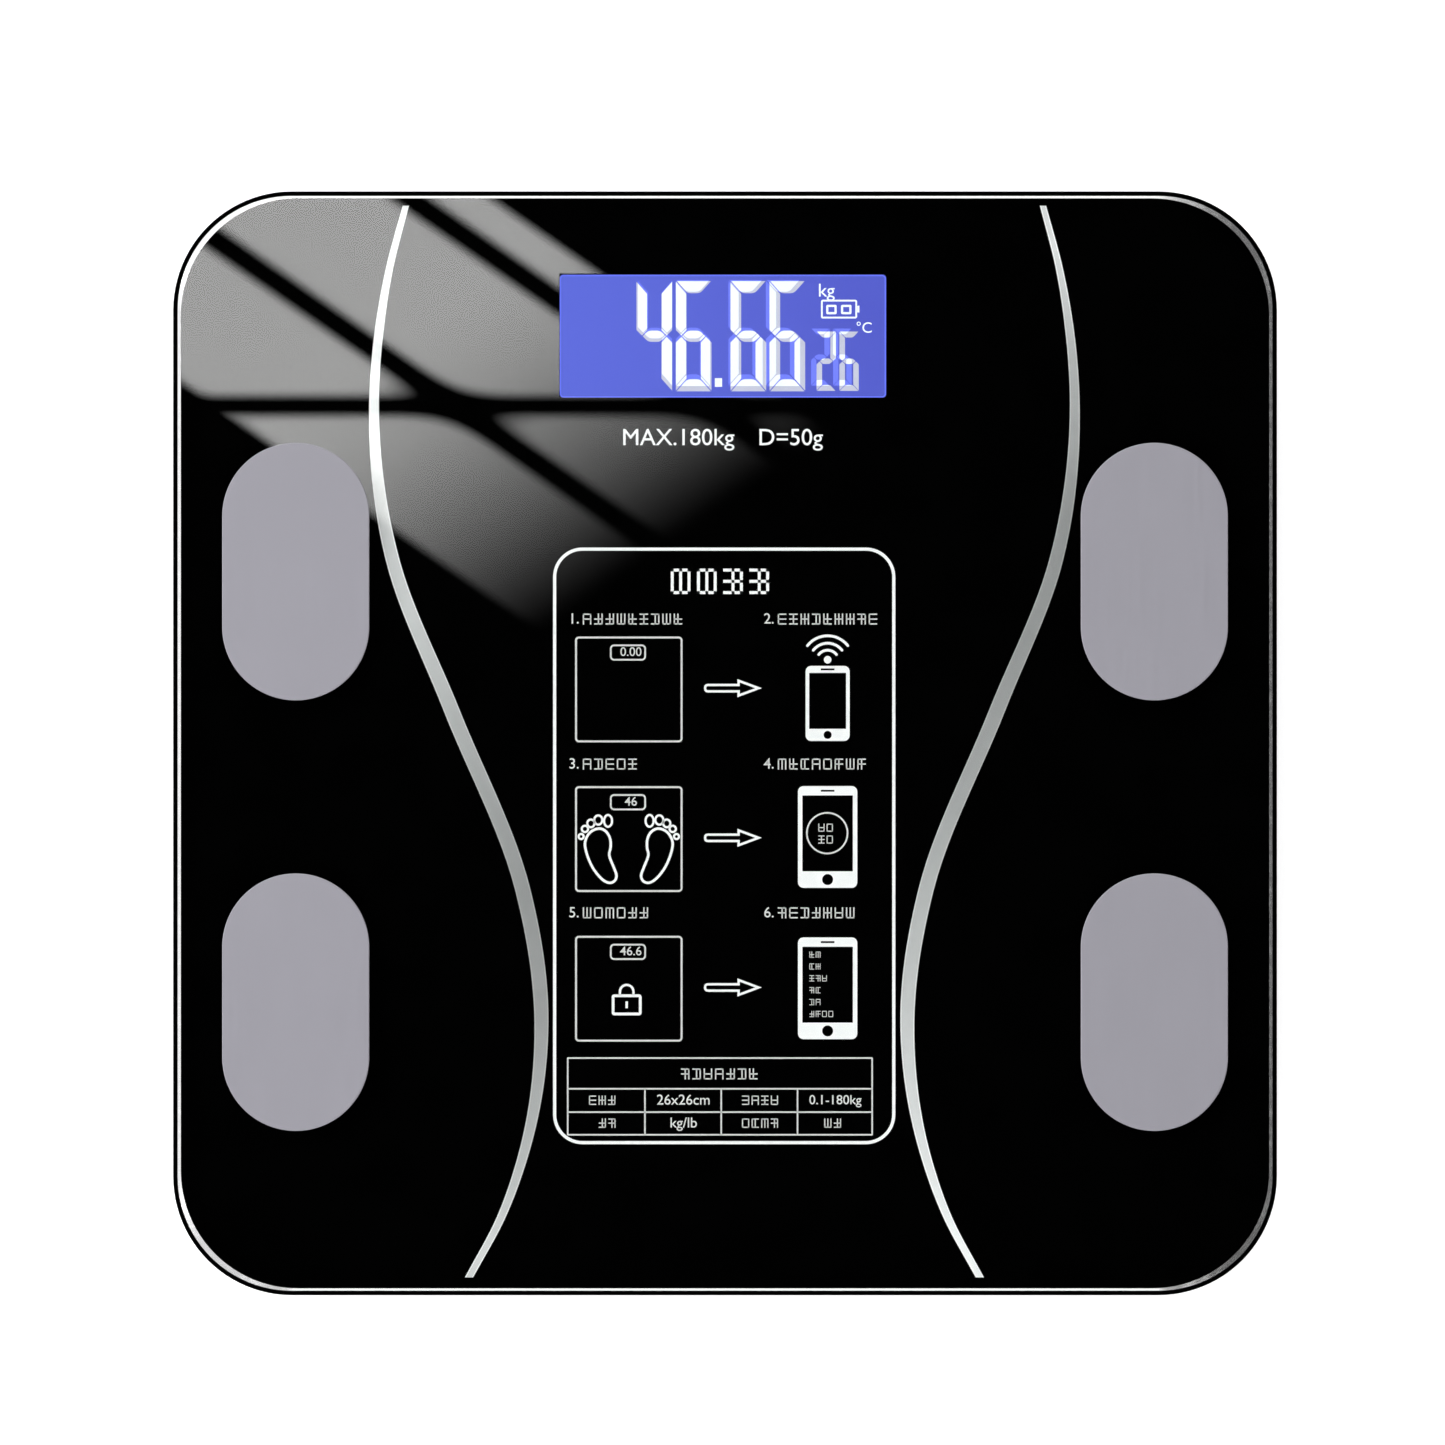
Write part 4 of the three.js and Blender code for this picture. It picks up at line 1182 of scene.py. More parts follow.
def tray_additions(floor):
    """Shelf, ribs, foot wells, screw posts and the walls of the bay."""
    half, low = RIBS["half"], floor - 1
    ledge_out, ledge_in = TRAY["ledge"]
    shelf_low = TRAY["top"] - TRAY["ledge_thick"]
    outer, inner = TRAY["half"] - ledge_out, TRAY["half"] - ledge_in
    shelf = plate_stack((outer, outer, (0, 0)), TRAY["corner"] - ledge_out,
                        [(0, shelf_low), (0, TRAY["top"])])
    opening = plate_stack((inner, inner, (0, 0)), TRAY["corner"] - ledge_in,
                          [(0, shelf_low - 1), (0, TRAY["top"] + 1)])
    parts = [carved("shelf", shelf, cuts=[opening])]
    reach, rib_top = RIBS["reach"], RIBS["top"]
    parts += [block(-reach, reach, y - half, y + half, low, rib_top) for y in RIBS["cross"]]
    parts += [block(x - half, x + half, -reach, RIBS["rear"], low, rib_top) for x in RIBS["along"]]
    for place in foot_places().values():
        parts.append(drum(FOOT["well"][1], low, FOOT["well_top"], place))
        radius, foot = FOOT["collar"], FOOT["collar_low"]
        collar = [(0, foot), (radius - 0.5, foot), (radius - 0.12, foot + 0.15), (radius, floor - 1.5),
                  (radius, low), (0, low)]
        parts.append(lathe_mm("collar", collar, place, CIRCLE_STEPS))
    for x in (-POST["x"], POST["x"]):
        parts += [drum(POST["radius"], low, POST["high"], (x, y), 32) for y in POST["y"]]
    parts += [bay_block(name, TRAY["bottom"]) for name in ("casing", "hinge_boss", "latch_boss")]
    return parts


def tray_openings(floor):
    """Holes, bores, the button's dish, the bay with its hinge and latch, and the label's bed."""
    below = TRAY["bottom"] - 1
    parts = []
    for place in foot_places().values():
        parts.append(drum(FOOT["well"][0], floor, FOOT["well_top"] + 1, place))
        parts.append(drum(FOOT["hole"], below - 1, floor + 1, place))
    for x in (-POST["x"], POST["x"]):
        parts += [drum(POST["bore"], POST["low"], POST["high"] + 1, (x, y), 24) for y in POST["y"]]
    button = (BUTTON["x"], BUTTON["y"])
    parts.append(drum(BUTTON["hole"], below, floor + 1, button, 48))
    depth = TRAY["bottom"] + BUTTON["dish_depth"]
    dish = [(0, below), (BUTTON["dish"] + 0.6, below), (BUTTON["dish"], TRAY["bottom"] + 0.1),
            (BUTTON["dish"] - 0.5, depth), (0, depth)]
    parts.append(lathe_mm("dish", dish, button, 64))
    parts += [bay_block(name, below) for name in ("cells", "mouth", "latch_slot")]
    for side in (-1, 1):
        near, far = sorted(side * x for x in HINGE["recess"])
        parts.append(block(near, far, *HINGE["recess_y"], below, HINGE["recess_top"]))
        first, last = sorted(side * x for x in HINGE["bore_ends"])
        parts.append(rod_across(HINGE["bore"], first, last, HINGE["y"], HINGE["z"], 24))
    label = (LABEL["x"], LABEL["y"], LABEL["centre"])
    levels = [(-0.2, below), (0.2, TRAY["bottom"] + LABEL["depth"])]
    parts.append(plate_stack(label, LABEL["corner"], levels, 8))
    half, width = GROOVE["half"], GROOVE["width"]
    levels = [(0, below), (0.2, TRAY["bottom"] + GROOVE["depth"])]
    groove = plate_stack((half, half, (0, 0)), GROOVE["corner"], levels)
    island = plate_stack((half - width, half - width, (0, 0)), GROOVE["corner"] - width,
                         [(0, below - 1), (-0.2, TRAY["bottom"] + 1)])
    parts.append(carved("groove", groove, cuts=[island]))
    parts.append(finger_scoop())
    return parts


def finger_scoop():
    """A ball that hollows the tray in front of the latch."""
    radius, steps = SCOOP["radius"], 48
    centre = TRAY["bottom"] + SCOOP["depth"] - radius
    angles = [pi * i / steps for i in range(steps + 1)]
    profile = [(abs(radius * sin(a)), centre - radius * cos(a)) for a in angles]
    return lathe_mm("scoop", profile, (0, SCOOP["y"]))


def tray_shell():
    """The base: a shallow tray with a rounded lower edge, foot wells, battery bay and screw posts."""
    half, wall = TRAY["half"], TRAY["wall"]
    floor = TRAY["bottom"] + wall
    outer = plate_stack((half, half, (0, 0)), TRAY["corner"], edge_levels(TRAY["bottom"], TRAY["top"]))
    levels = edge_levels(floor, TRAY["top"] + 1)
    inner = plate_stack((half - wall, half - wall, (0, 0)), TRAY["corner"] - wall, levels)
    hollow = carved("hollow", outer, cuts=[inner])
    return carved("tray_shell", hollow, tray_additions(floor), tray_openings(floor))


def unit_marks():
    """Raised unit names beside the button, read from below."""
    sheet = Sheet(3.86 * MM, 0.2 * MM, (BUTTON["x"], BUTTON["y"]), mirror=True)
    sheet.text("kg / lb / st", 2.8, (0.0, -12.0))
    return sheet.piece("unit_marks")


def seal_foam():
    """The foam tape between the tray and the glass, a little bulged at its outer side."""
    half = TAPE_HIGH.x / MM
    low, high = TAPE_LOW.z / MM, TAPE_HIGH.z / MM
    levels = [(0.25, low), (0.05, low + 0.25), (0.0, low + 0.5), (0.05, high - 0.25), (0.25, high)]
    outer = [(inset, z) for inset, z in levels]
    inner = [(8.0 - inset, z) for inset, z in reversed(levels)]
    loops = []
    for inset, z in outer + inner:
        outline = rounded_rect(half - inset, half - inset, TRAY["corner"] - 0.5 - inset)
        loops.append(([(x * MM, y * MM) for x, y in outline], z * MM))
    return stacked("seal_foam", loops, wrap=True)


def lathe_mm(name, profile, centre, steps=96):
    """A turned piece from (radius, height) points in millimetres."""
    return turned(name, [(r * MM, z * MM) for r, z in profile], (centre[0] * MM, centre[1] * MM), steps)


def foot_cup(end, centre):
    """The hard cup that slides in the tray and presses the load cell."""
    profile = [(0, 2.5), (15.8, 2.5), (15.8, 1.4), (16.0, 1.2), (16.9, 1.2), (17.2, 1.28), (17.42, 1.5),
               (17.5, 1.8), (17.5, 3.4), (17.3, 3.55), (17.3, 3.75), (17.5, 3.9), (17.5, 6.5),
               (19.3, 6.5), (19.5, 6.7), (19.5, 7.8), (19.3, 8.0), (5.4, 8.0), (5.0, 8.4), (5.0, 10.1),
               (4.7, 10.4), (0, 10.4)]
    return lathe_mm(f"foot_shell_{end}", profile, centre)


def foot_tread(end, centre):
    """The rubber pad with ring grooves."""
    profile = [(0, 0.35), (2.2, 0.35), (2.5, 0.0)]
    for groove in (5.2, 8.4, 11.6):
        profile += [(groove, 0.0), (groove + 0.25, 0.45), (groove + 0.75, 0.45), (groove + 1.0, 0.0)]
    profile += [(14.6, 0.0), (15.0, 0.08), (15.35, 0.38), (15.5, 0.8), (15.5, 2.5), (0, 2.5)]
    return lathe_mm(f"foot_tread_{end}", profile, centre)


def button_cap():
    """The unit button: a dished cap with a flange that keeps it in the tray."""
    profile = [(0, 4.75), (1.5, 4.7), (2.6, 4.55), (3.1, 4.4), (3.45, 4.4), (3.75, 4.52), (3.9, 4.8),
               (3.9, 6.2), (5.1, 6.2), (5.2, 6.3), (5.2, 7.1), (5.1, 7.2), (1.5, 7.2), (1.5, 7.4), (0, 7.4)]
    return lathe_mm("button_cap", profile, (BUTTON["x"], BUTTON["y"]), 64)


def cover_plate():
    """The battery cover with its two hinge lugs, pins and spring latch."""
    low, high = COVER["low"], COVER["high"]
    plate = block(-COVER["half"], COVER["half"], COVER["front"], COVER["rear"], low, high, 0.3)
    parts = []
    for side in (-1, 1):
        near, far = sorted(side * x for x in HINGE["lug_ends"])
        first, last = sorted((side * HINGE["lug_ends"][0], side * HINGE["pin_end"]))
        parts.append(block(near, far, COVER["rear"] - 1, HINGE["y"], low, high))
        parts.append(rod_across(HINGE["lug"], near, far, HINGE["y"], HINGE["z"]))
        parts.append(rod_across(HINGE["pin"], first, last, HINGE["y"], HINGE["z"], 28))
    clip = [(-31.4, low), (-31.4, 5.0), (-33.2, 5.0), (-33.2, 8.3), (-33.5, 8.6), (-36.7, 8.6),
            (-37.0, 8.3), (-37.0, 7.2), (-37.5, 6.2), (-37.0, 6.2), (-37.0, 4.15), (-36.85, low),
            (-36.0, low), (-36.0, 7.3), (-35.7, 7.6), (-34.5, 7.6), (-34.2, 7.3), (-34.2, low)]
    parts.append(section_across(clip, 5.0))
    return carved("cover_plate", plate, parts)


def cover_arrow():
    """The raised arrow that shows which way the latch is pressed."""
    sheet = Sheet(3.72 * MM, 0.35 * MM, (0.0, -13.5))
    sheet.plate([(-4.2, 2.4), (0.0, -3.4), (4.2, 2.4)])
    return sheet.piece("cover_arrow")


def cover_ridges(finish):
    """Thumb ridges across the cover beside its latch."""
    shape = block(-RIDGE["half"], RIDGE["half"], -RIDGE["width"] / 2, RIDGE["width"] / 2, 0.0, 0.6, 0.16)
    values = {"Shape": shape, "Count": RIDGE["count"], "Finish": finish,
              "Step": (0.0, RIDGE["step"] * MM, 0.0),
              "Start": (0.0, RIDGE["first"] * MM, RIDGE["low"] * MM)}
    ridges = grown("cover_ridges", row_works(), values)
    bpy.data.objects.remove(shape)
    return ridges


# ---------------------------------------------------------------- power

def merged(name, parts):
    """Several closed bodies as one piece."""
    shape = bmesh.new()
    for part in parts:
        shape.from_mesh(part.data)
        bpy.data.objects.remove(part)
    piece = make_object(name, [], [])
    shape.to_mesh(piece.data)
    shape.free()
    return piece


def lay_down(piece, node):
    """Turns a piece that was made upright to lie along Y where the node is, plus end as on the node."""
    low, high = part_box(node)
    forward = node.endswith("left")
    moved(piece, Matrix.Rotation(radians(-90 if forward else 90), 4, "X"))
    start = low.y if forward else high.y
    return moved(piece, Matrix.Translation(((low.x + high.x) / 2, start, (low.z + high.z) / 2)))


def cell_sleeve(node):
    profile = [(0, 0.3), (4.4, 0.3), (4.55, 0.05), (4.8, 0.0), (5.1, 0.08), (5.25, 0.35),
               (5.25, 43.0), (5.15, 43.3), (4.9, 43.5), (4.5, 43.45), (4.35, 43.1), (0, 43.1)]
    return lay_down(lathe_mm(f"{node}_sleeve", profile, (0, 0), 64), node)


def cell_metal(node):
    tail = lathe_mm("tail", [(0, 0.05), (3.9, 0.05), (4.25, 0.3), (4.25, 0.5), (0, 0.5)], (0, 0), 48)
    nipple = [(0, 42.9), (4.2, 42.9), (4.2, 43.3), (2.5, 43.35), (2.0, 43.5), (1.9, 43.7),
              (1.9, 44.3), (1.7, 44.5), (0, 44.5)]
    cap = lathe_mm("cap", nipple, (0, 0), 48)
    return lay_down(merged(f"{node}_metal", [tail, cap]), node)


CONTACT = {"thick": 0.4, "low": 7.0, "high": 15.5, "coil": (3.5, 2.2), "wire": 0.35, "turns": 3,
           "rise": 4.25}
CELL_X, CELL_Z = 5.5, 11.25


def contact_bump(x, wall, direction):
    profile = [(0, -0.05), (2.6, -0.05), (2.55, 0.3), (2.2, 0.9), (1.7, 1.3), (1.2, 1.46), (0, 1.5)]
    bump = lathe_mm("bump", profile, (0, 0), 40)
    moved(bump, Matrix.Rotation(-direction * pi / 2, 4, "X"))
    face = wall + direction * CONTACT["thick"]
    return moved(bump, Matrix.Translation(Vector((x, face, CELL_Z)) * MM))


def contact_coil(x, wall, direction):
    root = wall + direction * CONTACT["thick"]
    tip = root + direction * CONTACT["rise"]
    radii = tuple(r * MM for r in CONTACT["coil"])
    return coiled("coil", x * MM, root * MM, tip * MM, radii, CONTACT["turns"], CONTACT["wire"] * MM,
                  CELL_Z * MM)


def contact_leaf(x0, x1, wall, direction):
    near, far = sorted((wall, wall + direction * CONTACT["thick"]))
    return block(x0, x1, near, far, CONTACT["low"], CONTACT["high"], 0.12)


def battery_contacts():
    """The bridge at the front of the bay and the two contacts at its rear, by the node each stands for."""
    front, rear = BAY["cells"][1:3]
    return {
        "contact_bridge": [contact_leaf(-10, 10, front, 1), contact_coil(-CELL_X, front, 1),
                           contact_bump(CELL_X, front, 1)],
        "contact_plus": [contact_leaf(-10, -1, rear, -1), contact_bump(-CELL_X, rear, -1)],
        "contact_minus": [contact_leaf(1, 10, rear, -1), contact_coil(CELL_X, rear, -1)],
    }


# ---------------------------------------------------------------- electronics

def board_parts(name, finish, centre, extent, counts, height, top, seed):
    """A field of small soldered parts on one side of the board."""
    size = Vector((2.0, 1.25, height)) * MM
    values = {"Width": extent[0] * MM, "Depth": extent[1] * MM, "Columns": counts[0], "Rows": counts[1],
              "Filled": 0.45, "Seed": seed, "Size": tuple(size), "Finish": finish}
    parts = grown(name, board_works(), values)
    level = BOARD_HIGH.z + size.z / 2 if top else BOARD_LOW.z - size.z / 2
    return moved(parts, Matrix.Translation((centre[0] * MM, centre[1] * MM, level)))


def chip_legs(finish):
    """The fine legs on two sides of the controller, under the board."""
    low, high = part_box("controller_chip")
    sides_of_chip = []
    for side, edge in ((-1, low.x), (1, high.x)):
        near, far = sorted((edge / MM, edge / MM + side * 1.1))
        leg = block(near, far, -0.2, 0.2, high.z / MM - 0.22, high.z / MM, 0.04)
        values = {"Shape": leg, "Count": 12, "Finish": finish, "Step": (0.0, 0.75 * MM, 0.0),
                  "Start": (0.0, low.y + 0.9 * MM, 0.0)}
        sides_of_chip.append(grown("legs", row_works(), values))
        bpy.data.objects.remove(leg)
    return merged("chip_legs", sides_of_chip)


def strain_gauge(end, centre):
    """The glue dome over the gauge on a load cell's tongue."""
    profile = [(0, 12.15), (4.4, 12.15), (4.2, 12.5), (3.4, 12.9), (2.2, 13.15), (0, 13.25)]
    return lathe_mm(f"strain_gauge_{end}", profile, centre, 40)


# ---------------------------------------------------------------- stage

VIEW_WIDTH = 340.0 * MM
VIEW_CENTRE = Vector((-0.6, 4.9)) * MM
LENS = 140.0
SENSOR = 36.0
CAMERA_HEIGHT = VIEW_WIDTH / SENSOR * LENS


def make_camera():
    lens = bpy.data.cameras.new("camera")
    lens.lens = LENS
    lens.sensor_width = SENSOR
    lens.clip_start = 0.01
    lens.clip_end = 50.0
    camera = bpy.data.objects.new("camera", lens)
    camera.location = (VIEW_CENTRE.x, VIEW_CENTRE.y, GLASS_HIGH.z + CAMERA_HEIGHT)
    bpy.context.scene.collection.objects.link(camera)
    bpy.context.scene.camera = camera


def make_floor():
    """A pale floor that shows only from above."""
    reach = 6.0
    corners = [(-reach, -reach, 0), (reach, -reach, 0), (reach, reach, 0), (-reach, reach, 0)]
    floor = make_object("floor", corners, [(0, 1, 2, 3)])
    finish = Finish("floor", (0.86, 0.86, 0.86), 0.9)
    tone = finish.noise(3, 3)
    finish.set("Base Color", finish.mix(tone, (0.84, 0.84, 0.84), (0.87, 0.87, 0.87)))
    finish.set("Emission Color", (1.0, 1.0, 1.0))
    finish.set("Emission Strength", 0.62)
    back = finish.add("NewGeometry", output="Backfacing")
    clear = finish.add("BsdfTransparent")
    both = finish.add("MixShader", inputs={0: back, 1: Value(finish, finish.shader.outputs[0]), 2: clear})
    finish.tree.links.new(both.socket, finish.out.inputs["Surface"])
    floor.data.materials.append(finish.block)


def make_world():
    """A pale dome, dark overhead, dimmer to the right and the front; as a backdrop it is plain white."""
    world = bpy.data.worlds.new("studio")
    bpy.context.scene.world = world
    world.use_nodes = True
    dome = Works(world.node_tree)
    place = dome.add("TexCoord", output="Generated")
    height = dome.add("SeparateXYZ", inputs={0: place}, output="Z")
    across = dome.add("SeparateXYZ", inputs={0: place}, output="X")
    along = dome.add("SeparateXYZ", inputs={0: place}, output="Y")
    sides_of_dome = across.step(-0.08, 0.44, 1.0, 0.05) * along.spread(-0.96, 0.96, 0.5, 1.25)
    glow = height.step(0.62, 0.94, 1.0, 0.0) * sides_of_dome
    seen = dome.add("LightPath", output="Is Camera Ray")
    light = glow * (1 - seen) + seen
    backdrop = world.node_tree.nodes["Background"]
    dome.feed(backdrop.inputs["Strength"], light)
    dome.feed(backdrop.inputs["Color"], (1.0, 1.0, 1.0))


def softbox(name, azimuth, elevation, distance, size, power):
    """A large soft lamp aimed at the object; azimuth 0 is the +X side and 90 the +Y side."""
    lamp = bpy.data.lights.new(name, "AREA")
    lamp.shape = "RECTANGLE"
    lamp.size, lamp.size_y = size
    lamp.energy = power
    holder = bpy.data.objects.new(name, lamp)
    a, e = radians(azimuth), radians(elevation)
    holder.location = Vector((cos(a) * cos(e), sin(a) * cos(e), sin(e))) * distance
    holder.rotation_euler = holder.location.to_track_quat("Z", "Y").to_euler()
    holder.visible_camera = False
    bpy.context.scene.collection.objects.link(holder)


WINDOW_LIGHT = {
    "height": 2.2, "strength": 8.6, "tilt": 34.8, "stripes": (-2.8, 73.5), "bars": (28.9, 63.0), "bar": 3.0,
    "rail": 79.4, "rail_half": 2.6, "soft": 1.8, "round": 9.0, "corner": 3.0, "fade": (-125.0, -45.0),
}


def window_light():
    """A high softbox with crossing bars and a flag: it shines on one corner and spares the display."""
    reach = (CAMERA_HEIGHT + WINDOW_LIGHT["height"]) / CAMERA_HEIGHT
    z = GLASS_HIGH.z + WINDOW_LIGHT["height"]
    points = []
    for x, y in ((-150, 20), (60, 20), (60, 150), (-150, 150)):
        place = VIEW_CENTRE + (Vector((x, y)) * MM - VIEW_CENTRE) * reach
        points.append((*place, z))
    panel = make_object("window_softbox", points, [(3, 2, 1, 0)])
    finish = Finish("window_softbox", (0.0, 0.0, 0.0), 1.0, Specular_IOR_Level=0.0)
    x = (finish.axis("X") - VIEW_CENTRE.x) / (reach * MM) + VIEW_CENTRE.x / MM
    y = (finish.axis("Y") - VIEW_CENTRE.y) / (reach * MM) + VIEW_CENTRE.y / MM
    tilt = radians(WINDOW_LIGHT["tilt"])
    soft = WINDOW_LIGHT["soft"]
    across = x * sin(tilt) + y * cos(tilt)
    low, high = WINDOW_LIGHT["stripes"]
    pane = abs(y - WINDOW_LIGHT["rail"]) - WINDOW_LIGHT["rail_half"]
    for bar in WINDOW_LIGHT["bars"]:
        pane = pane.math("SMOOTH_MIN", pane, abs(across - bar) - WINDOW_LIGHT["bar"], WINDOW_LIGHT["round"])
    for edge in (across - low, high - across):
        pane = pane.math("SMOOTH_MIN", pane, edge, WINDOW_LIGHT["corner"])
    mask = pane.step(-soft, soft)
    flag_x = abs(x - WINDOW_CENTRE[0]).step(WINDOW["x"] / 2 - 0.15, WINDOW["x"] / 2 + 0.15)
    flag_y = abs(y - WINDOW_CENTRE[1]).step(WINDOW["y"] / 2 - 0.15, WINDOW["y"] / 2 + 0.15)
    mask = mask * (1 - (1 - flag_x) * (1 - flag_y))
    start, end = WINDOW_LIGHT["fade"]
    fade = (x * sin(tilt) - y * cos(tilt)).step(start, end, 1.0, 0.0)
    light = finish.add("Emission", inputs={0: (1.0, 1.0, 0.99), 1: mask * fade * WINDOW_LIGHT["strength"]})
    finish.tree.links.new(light.socket, finish.out.inputs["Surface"])
    panel.data.materials.append(finish.block)
    panel.visible_camera = False
    panel.visible_diffuse = False
    panel.visible_shadow = False


# ---------------------------------------------------------------- finishes of the base

def matt_black_tray():
    """Black moulded plastic: a fine spark texture, with soft handling marks on the flats."""
    finish = Finish("tray_plastic", (0.034, 0.034, 0.036), 0.5)
    spark = finish.noise(2300, 3, roughness=0.65)
    rub = finish.noise(26, 4, (1.0, 0.5, 1.0)).step(0.5, 0.72)
    finish.set("Base Color", finish.mix(rub, (0.032, 0.032, 0.034), (0.05, 0.05, 0.052)))
    finish.set("Roughness", spark.spread(0.3, 0.7, 0.42, 0.56) - rub * 0.08)
    finish.bump(spark, 0.4, 0.03 * MM)
    return finish.block


def foot_rubber():
    """Grey rubber, paler and duller where it stands on the floor."""
    finish = Finish("foot_rubber", (0.11, 0.11, 0.112), 0.85)
    dust = finish.noise(240, 4).step(0.35, 0.75) * finish.axis("Z").step(0.1 * MM, 0.9 * MM, 1.0, 0.0)
    finish.set("Base Color", finish.mix(dust, (0.1, 0.1, 0.102), (0.19, 0.185, 0.175)))
    grain = finish.noise(1500, 3)
    finish.set("Roughness", grain.spread(0.3, 0.7, 0.78, 0.95))
    finish.bump(grain, 0.3, 0.03 * MM)
    return finish.block


def seal_foam_finish():
    """Closed-cell foam with fine open pores along its cut side, painted darker in the pores as shade."""
    finish = Finish("seal_foam", (0.03, 0.03, 0.031), 0.9)
    pores = finish.cells(1900)
    # Darker at the pores' centres, where the bump sinks: painted shade.
    finish.set("Base Color", finish.mix(pores.step(0.1, 0.5), (0.012, 0.012, 0.012), (0.05, 0.05, 0.052)))
    finish.bump(pores, 0.7, 0.08 * MM)
    return finish.block


def bare_metal(name, colour, roughness=0.3, streak="X"):
    """Plain metal with fine drawn lines and a slight tarnish."""
    finish = Finish(name, colour, roughness, Metallic=1.0)
    stretch = (0.03, 1.0, 1.0) if streak == "X" else (1.0, 0.03, 1.0)
    drawn = finish.noise(2200, 3, stretch)
    tarnish = finish.noise(160, 3).step(0.45, 0.75)
    finish.set("Base Color", finish.mix(tarnish, colour, grade(colour, 0.72)))
    finish.set("Roughness", drawn.spread(0.3, 0.7, roughness - 0.06, roughness + 0.1))
    finish.bump(drawn, 0.12, 0.01 * MM)
    return finish.block


def sleeve_finish(node):
    """A shrink sleeve: copper band at the plus end, dark green below it, with a thin pale ring."""
    low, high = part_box(node)
    forward = node.endswith("left")
    finish = Finish(f"{node}_sleeve", (0.02, 0.09, 0.05), 0.3, Coat_Weight=0.3)
    along = finish.axis("Y")
    from_plus = high.y - along if forward else along - low.y
    wear = finish.noise(420, 3).step(0.55, 0.75)
    bands = finish.ramp(from_plus.spread(0.0, 44.5 * MM), [
        (0.0, (0.62, 0.26, 0.1)), (0.235, (0.66, 0.29, 0.12)), (0.24, (0.75, 0.72, 0.6)),
        (0.252, (0.75, 0.72, 0.6)), (0.257, (0.02, 0.1, 0.055)), (1.0, (0.015, 0.075, 0.045))])
    finish.set("Base Color", finish.mix(wear * 0.35, bands, (0.2, 0.2, 0.18)))
    finish.set("Metallic", from_plus.step(10.4 * MM, 10.6 * MM, 0.8, 0.25))
    finish.set("Roughness", wear.spread(0.0, 1.0, 0.26, 0.42))
    return finish.block


def circuit_board():
    """Green solder mask over copper tracks, with brighter pads."""
    finish = Finish("circuit_board", (0.02, 0.13, 0.05), 0.35)
    tracks = finish.cells(330, stretch=(1.0, 0.25, 0.0)).step(0.28, 0.36, 1.0, 0.0)
    pads = finish.cells(520, stretch=(1.0, 1.0, 0.0)).step(0.1, 0.13, 1.0, 0.0)
    mask = finish.mix(tracks, (0.012, 0.085, 0.034), (0.03, 0.2, 0.07))
    finish.set("Base Color", finish.mix(pads, mask, (0.65, 0.6, 0.5)))
    finish.set("Metallic", pads * 0.9)
    finish.set("Roughness", tracks.spread(0.0, 1.0, 0.36, 0.28))
    finish.bump(tracks, 0.3, 0.04 * MM)
    return finish.block


def soldered_parts():
    """Ceramic and black moulded parts: each takes its tone from its place."""
    finish = Finish("soldered_parts", (0.3, 0.22, 0.14), 0.45)
    which = finish.cells(310, "Color", (1.0, 1.0, 0.0))
    tone = finish.add("SeparateXYZ", inputs={0: which})
    body = finish.mix(tone.step(0.45, 0.55), (0.42, 0.3, 0.18), (0.02, 0.02, 0.022))
    finish.set("Base Color", body)
    finish.set("Roughness", tone.step(0.45, 0.55, 0.55, 0.3))
    return finish.block


def light_guide():
    """Frosted acrylic that carries the display's light, brightest at its lamp side."""
    finish = Finish("light_guide", (0.75, 0.8, 0.95), 0.35)
    dots = finish.cells(900).step(0.2, 0.35, 1.0, 0.0)
    finish.set("Base Color", finish.mix(dots, (0.7, 0.76, 0.95), (0.92, 0.94, 1.0)))
    finish.set("Roughness", dots.spread(0.0, 1.0, 0.3, 0.5))
    finish.bump(dots, 0.2, 0.05 * MM)
    return finish.block


def zebra_rubber():
    """Pink silicone with the fine black stripes that join the board to the display."""
    finish = Finish("zebra_rubber", (0.75, 0.35, 0.4), 0.6)
    stripe = (finish.axis("X") * (tau / (0.36 * MM))).wave().step(-0.1, 0.1)
    finish.set("Base Color", finish.mix(stripe, (0.72, 0.3, 0.36), (0.02, 0.02, 0.02)))
    finish.set("Roughness", stripe.spread(0.0, 1.0, 0.5, 0.75))
    return finish.block


def lead_sleeve(name, colour):
    """Thin PVC insulation with a slight gloss and soft dents, painted darker in the dents as shade."""
    finish = Finish(name, colour, 0.4)
    dents = finish.noise(300, 3)
    # The tone follows the dents: darker where they sink, painted shade.
    finish.set("Base Color", finish.mix(dents, grade(colour, 0.85), grade(colour, 1.08)))
    finish.set("Roughness", dents.spread(0.3, 0.7, 0.32, 0.5))
    finish.bump(dents, 0.2, 0.1 * MM)
    return finish.block


def display_glass():
    """The display cell seen from its edge: dark polariser over glass."""
    finish = Finish("display_cell", (0.05, 0.055, 0.12), 0.12, Coat_Weight=0.6)
    layers = (finish.axis("Z") * (tau / (0.9 * MM))).wave().step(-0.2, 0.2)
    finish.set("Base Color", finish.mix(layers, (0.035, 0.04, 0.1), (0.1, 0.12, 0.2)))
    finish.set("Roughness", finish.noise(200, 2).spread(0.3, 0.7, 0.08, 0.18))
    return finish.block


# The tone of each waist line, from its rear end at 0 to its front end at 1.
WAIST_TONES = {
    -1: [(0.0, 0.97), (0.225, 0.92), (0.304, 0.72), (0.403, 0.55), (0.47, 0.45),
         (0.561, 0.345), (0.64, 0.3), (0.763, 0.335), (0.889, 0.475), (1.0, 0.7)],
    1: [(0.0, 0.8), (0.047, 0.72), (0.106, 0.53), (0.146, 0.434), (0.304, 0.314),
        (0.403, 0.3), (0.561, 0.38), (0.763, 0.578), (0.889, 0.77), (1.0, 0.97)],
}


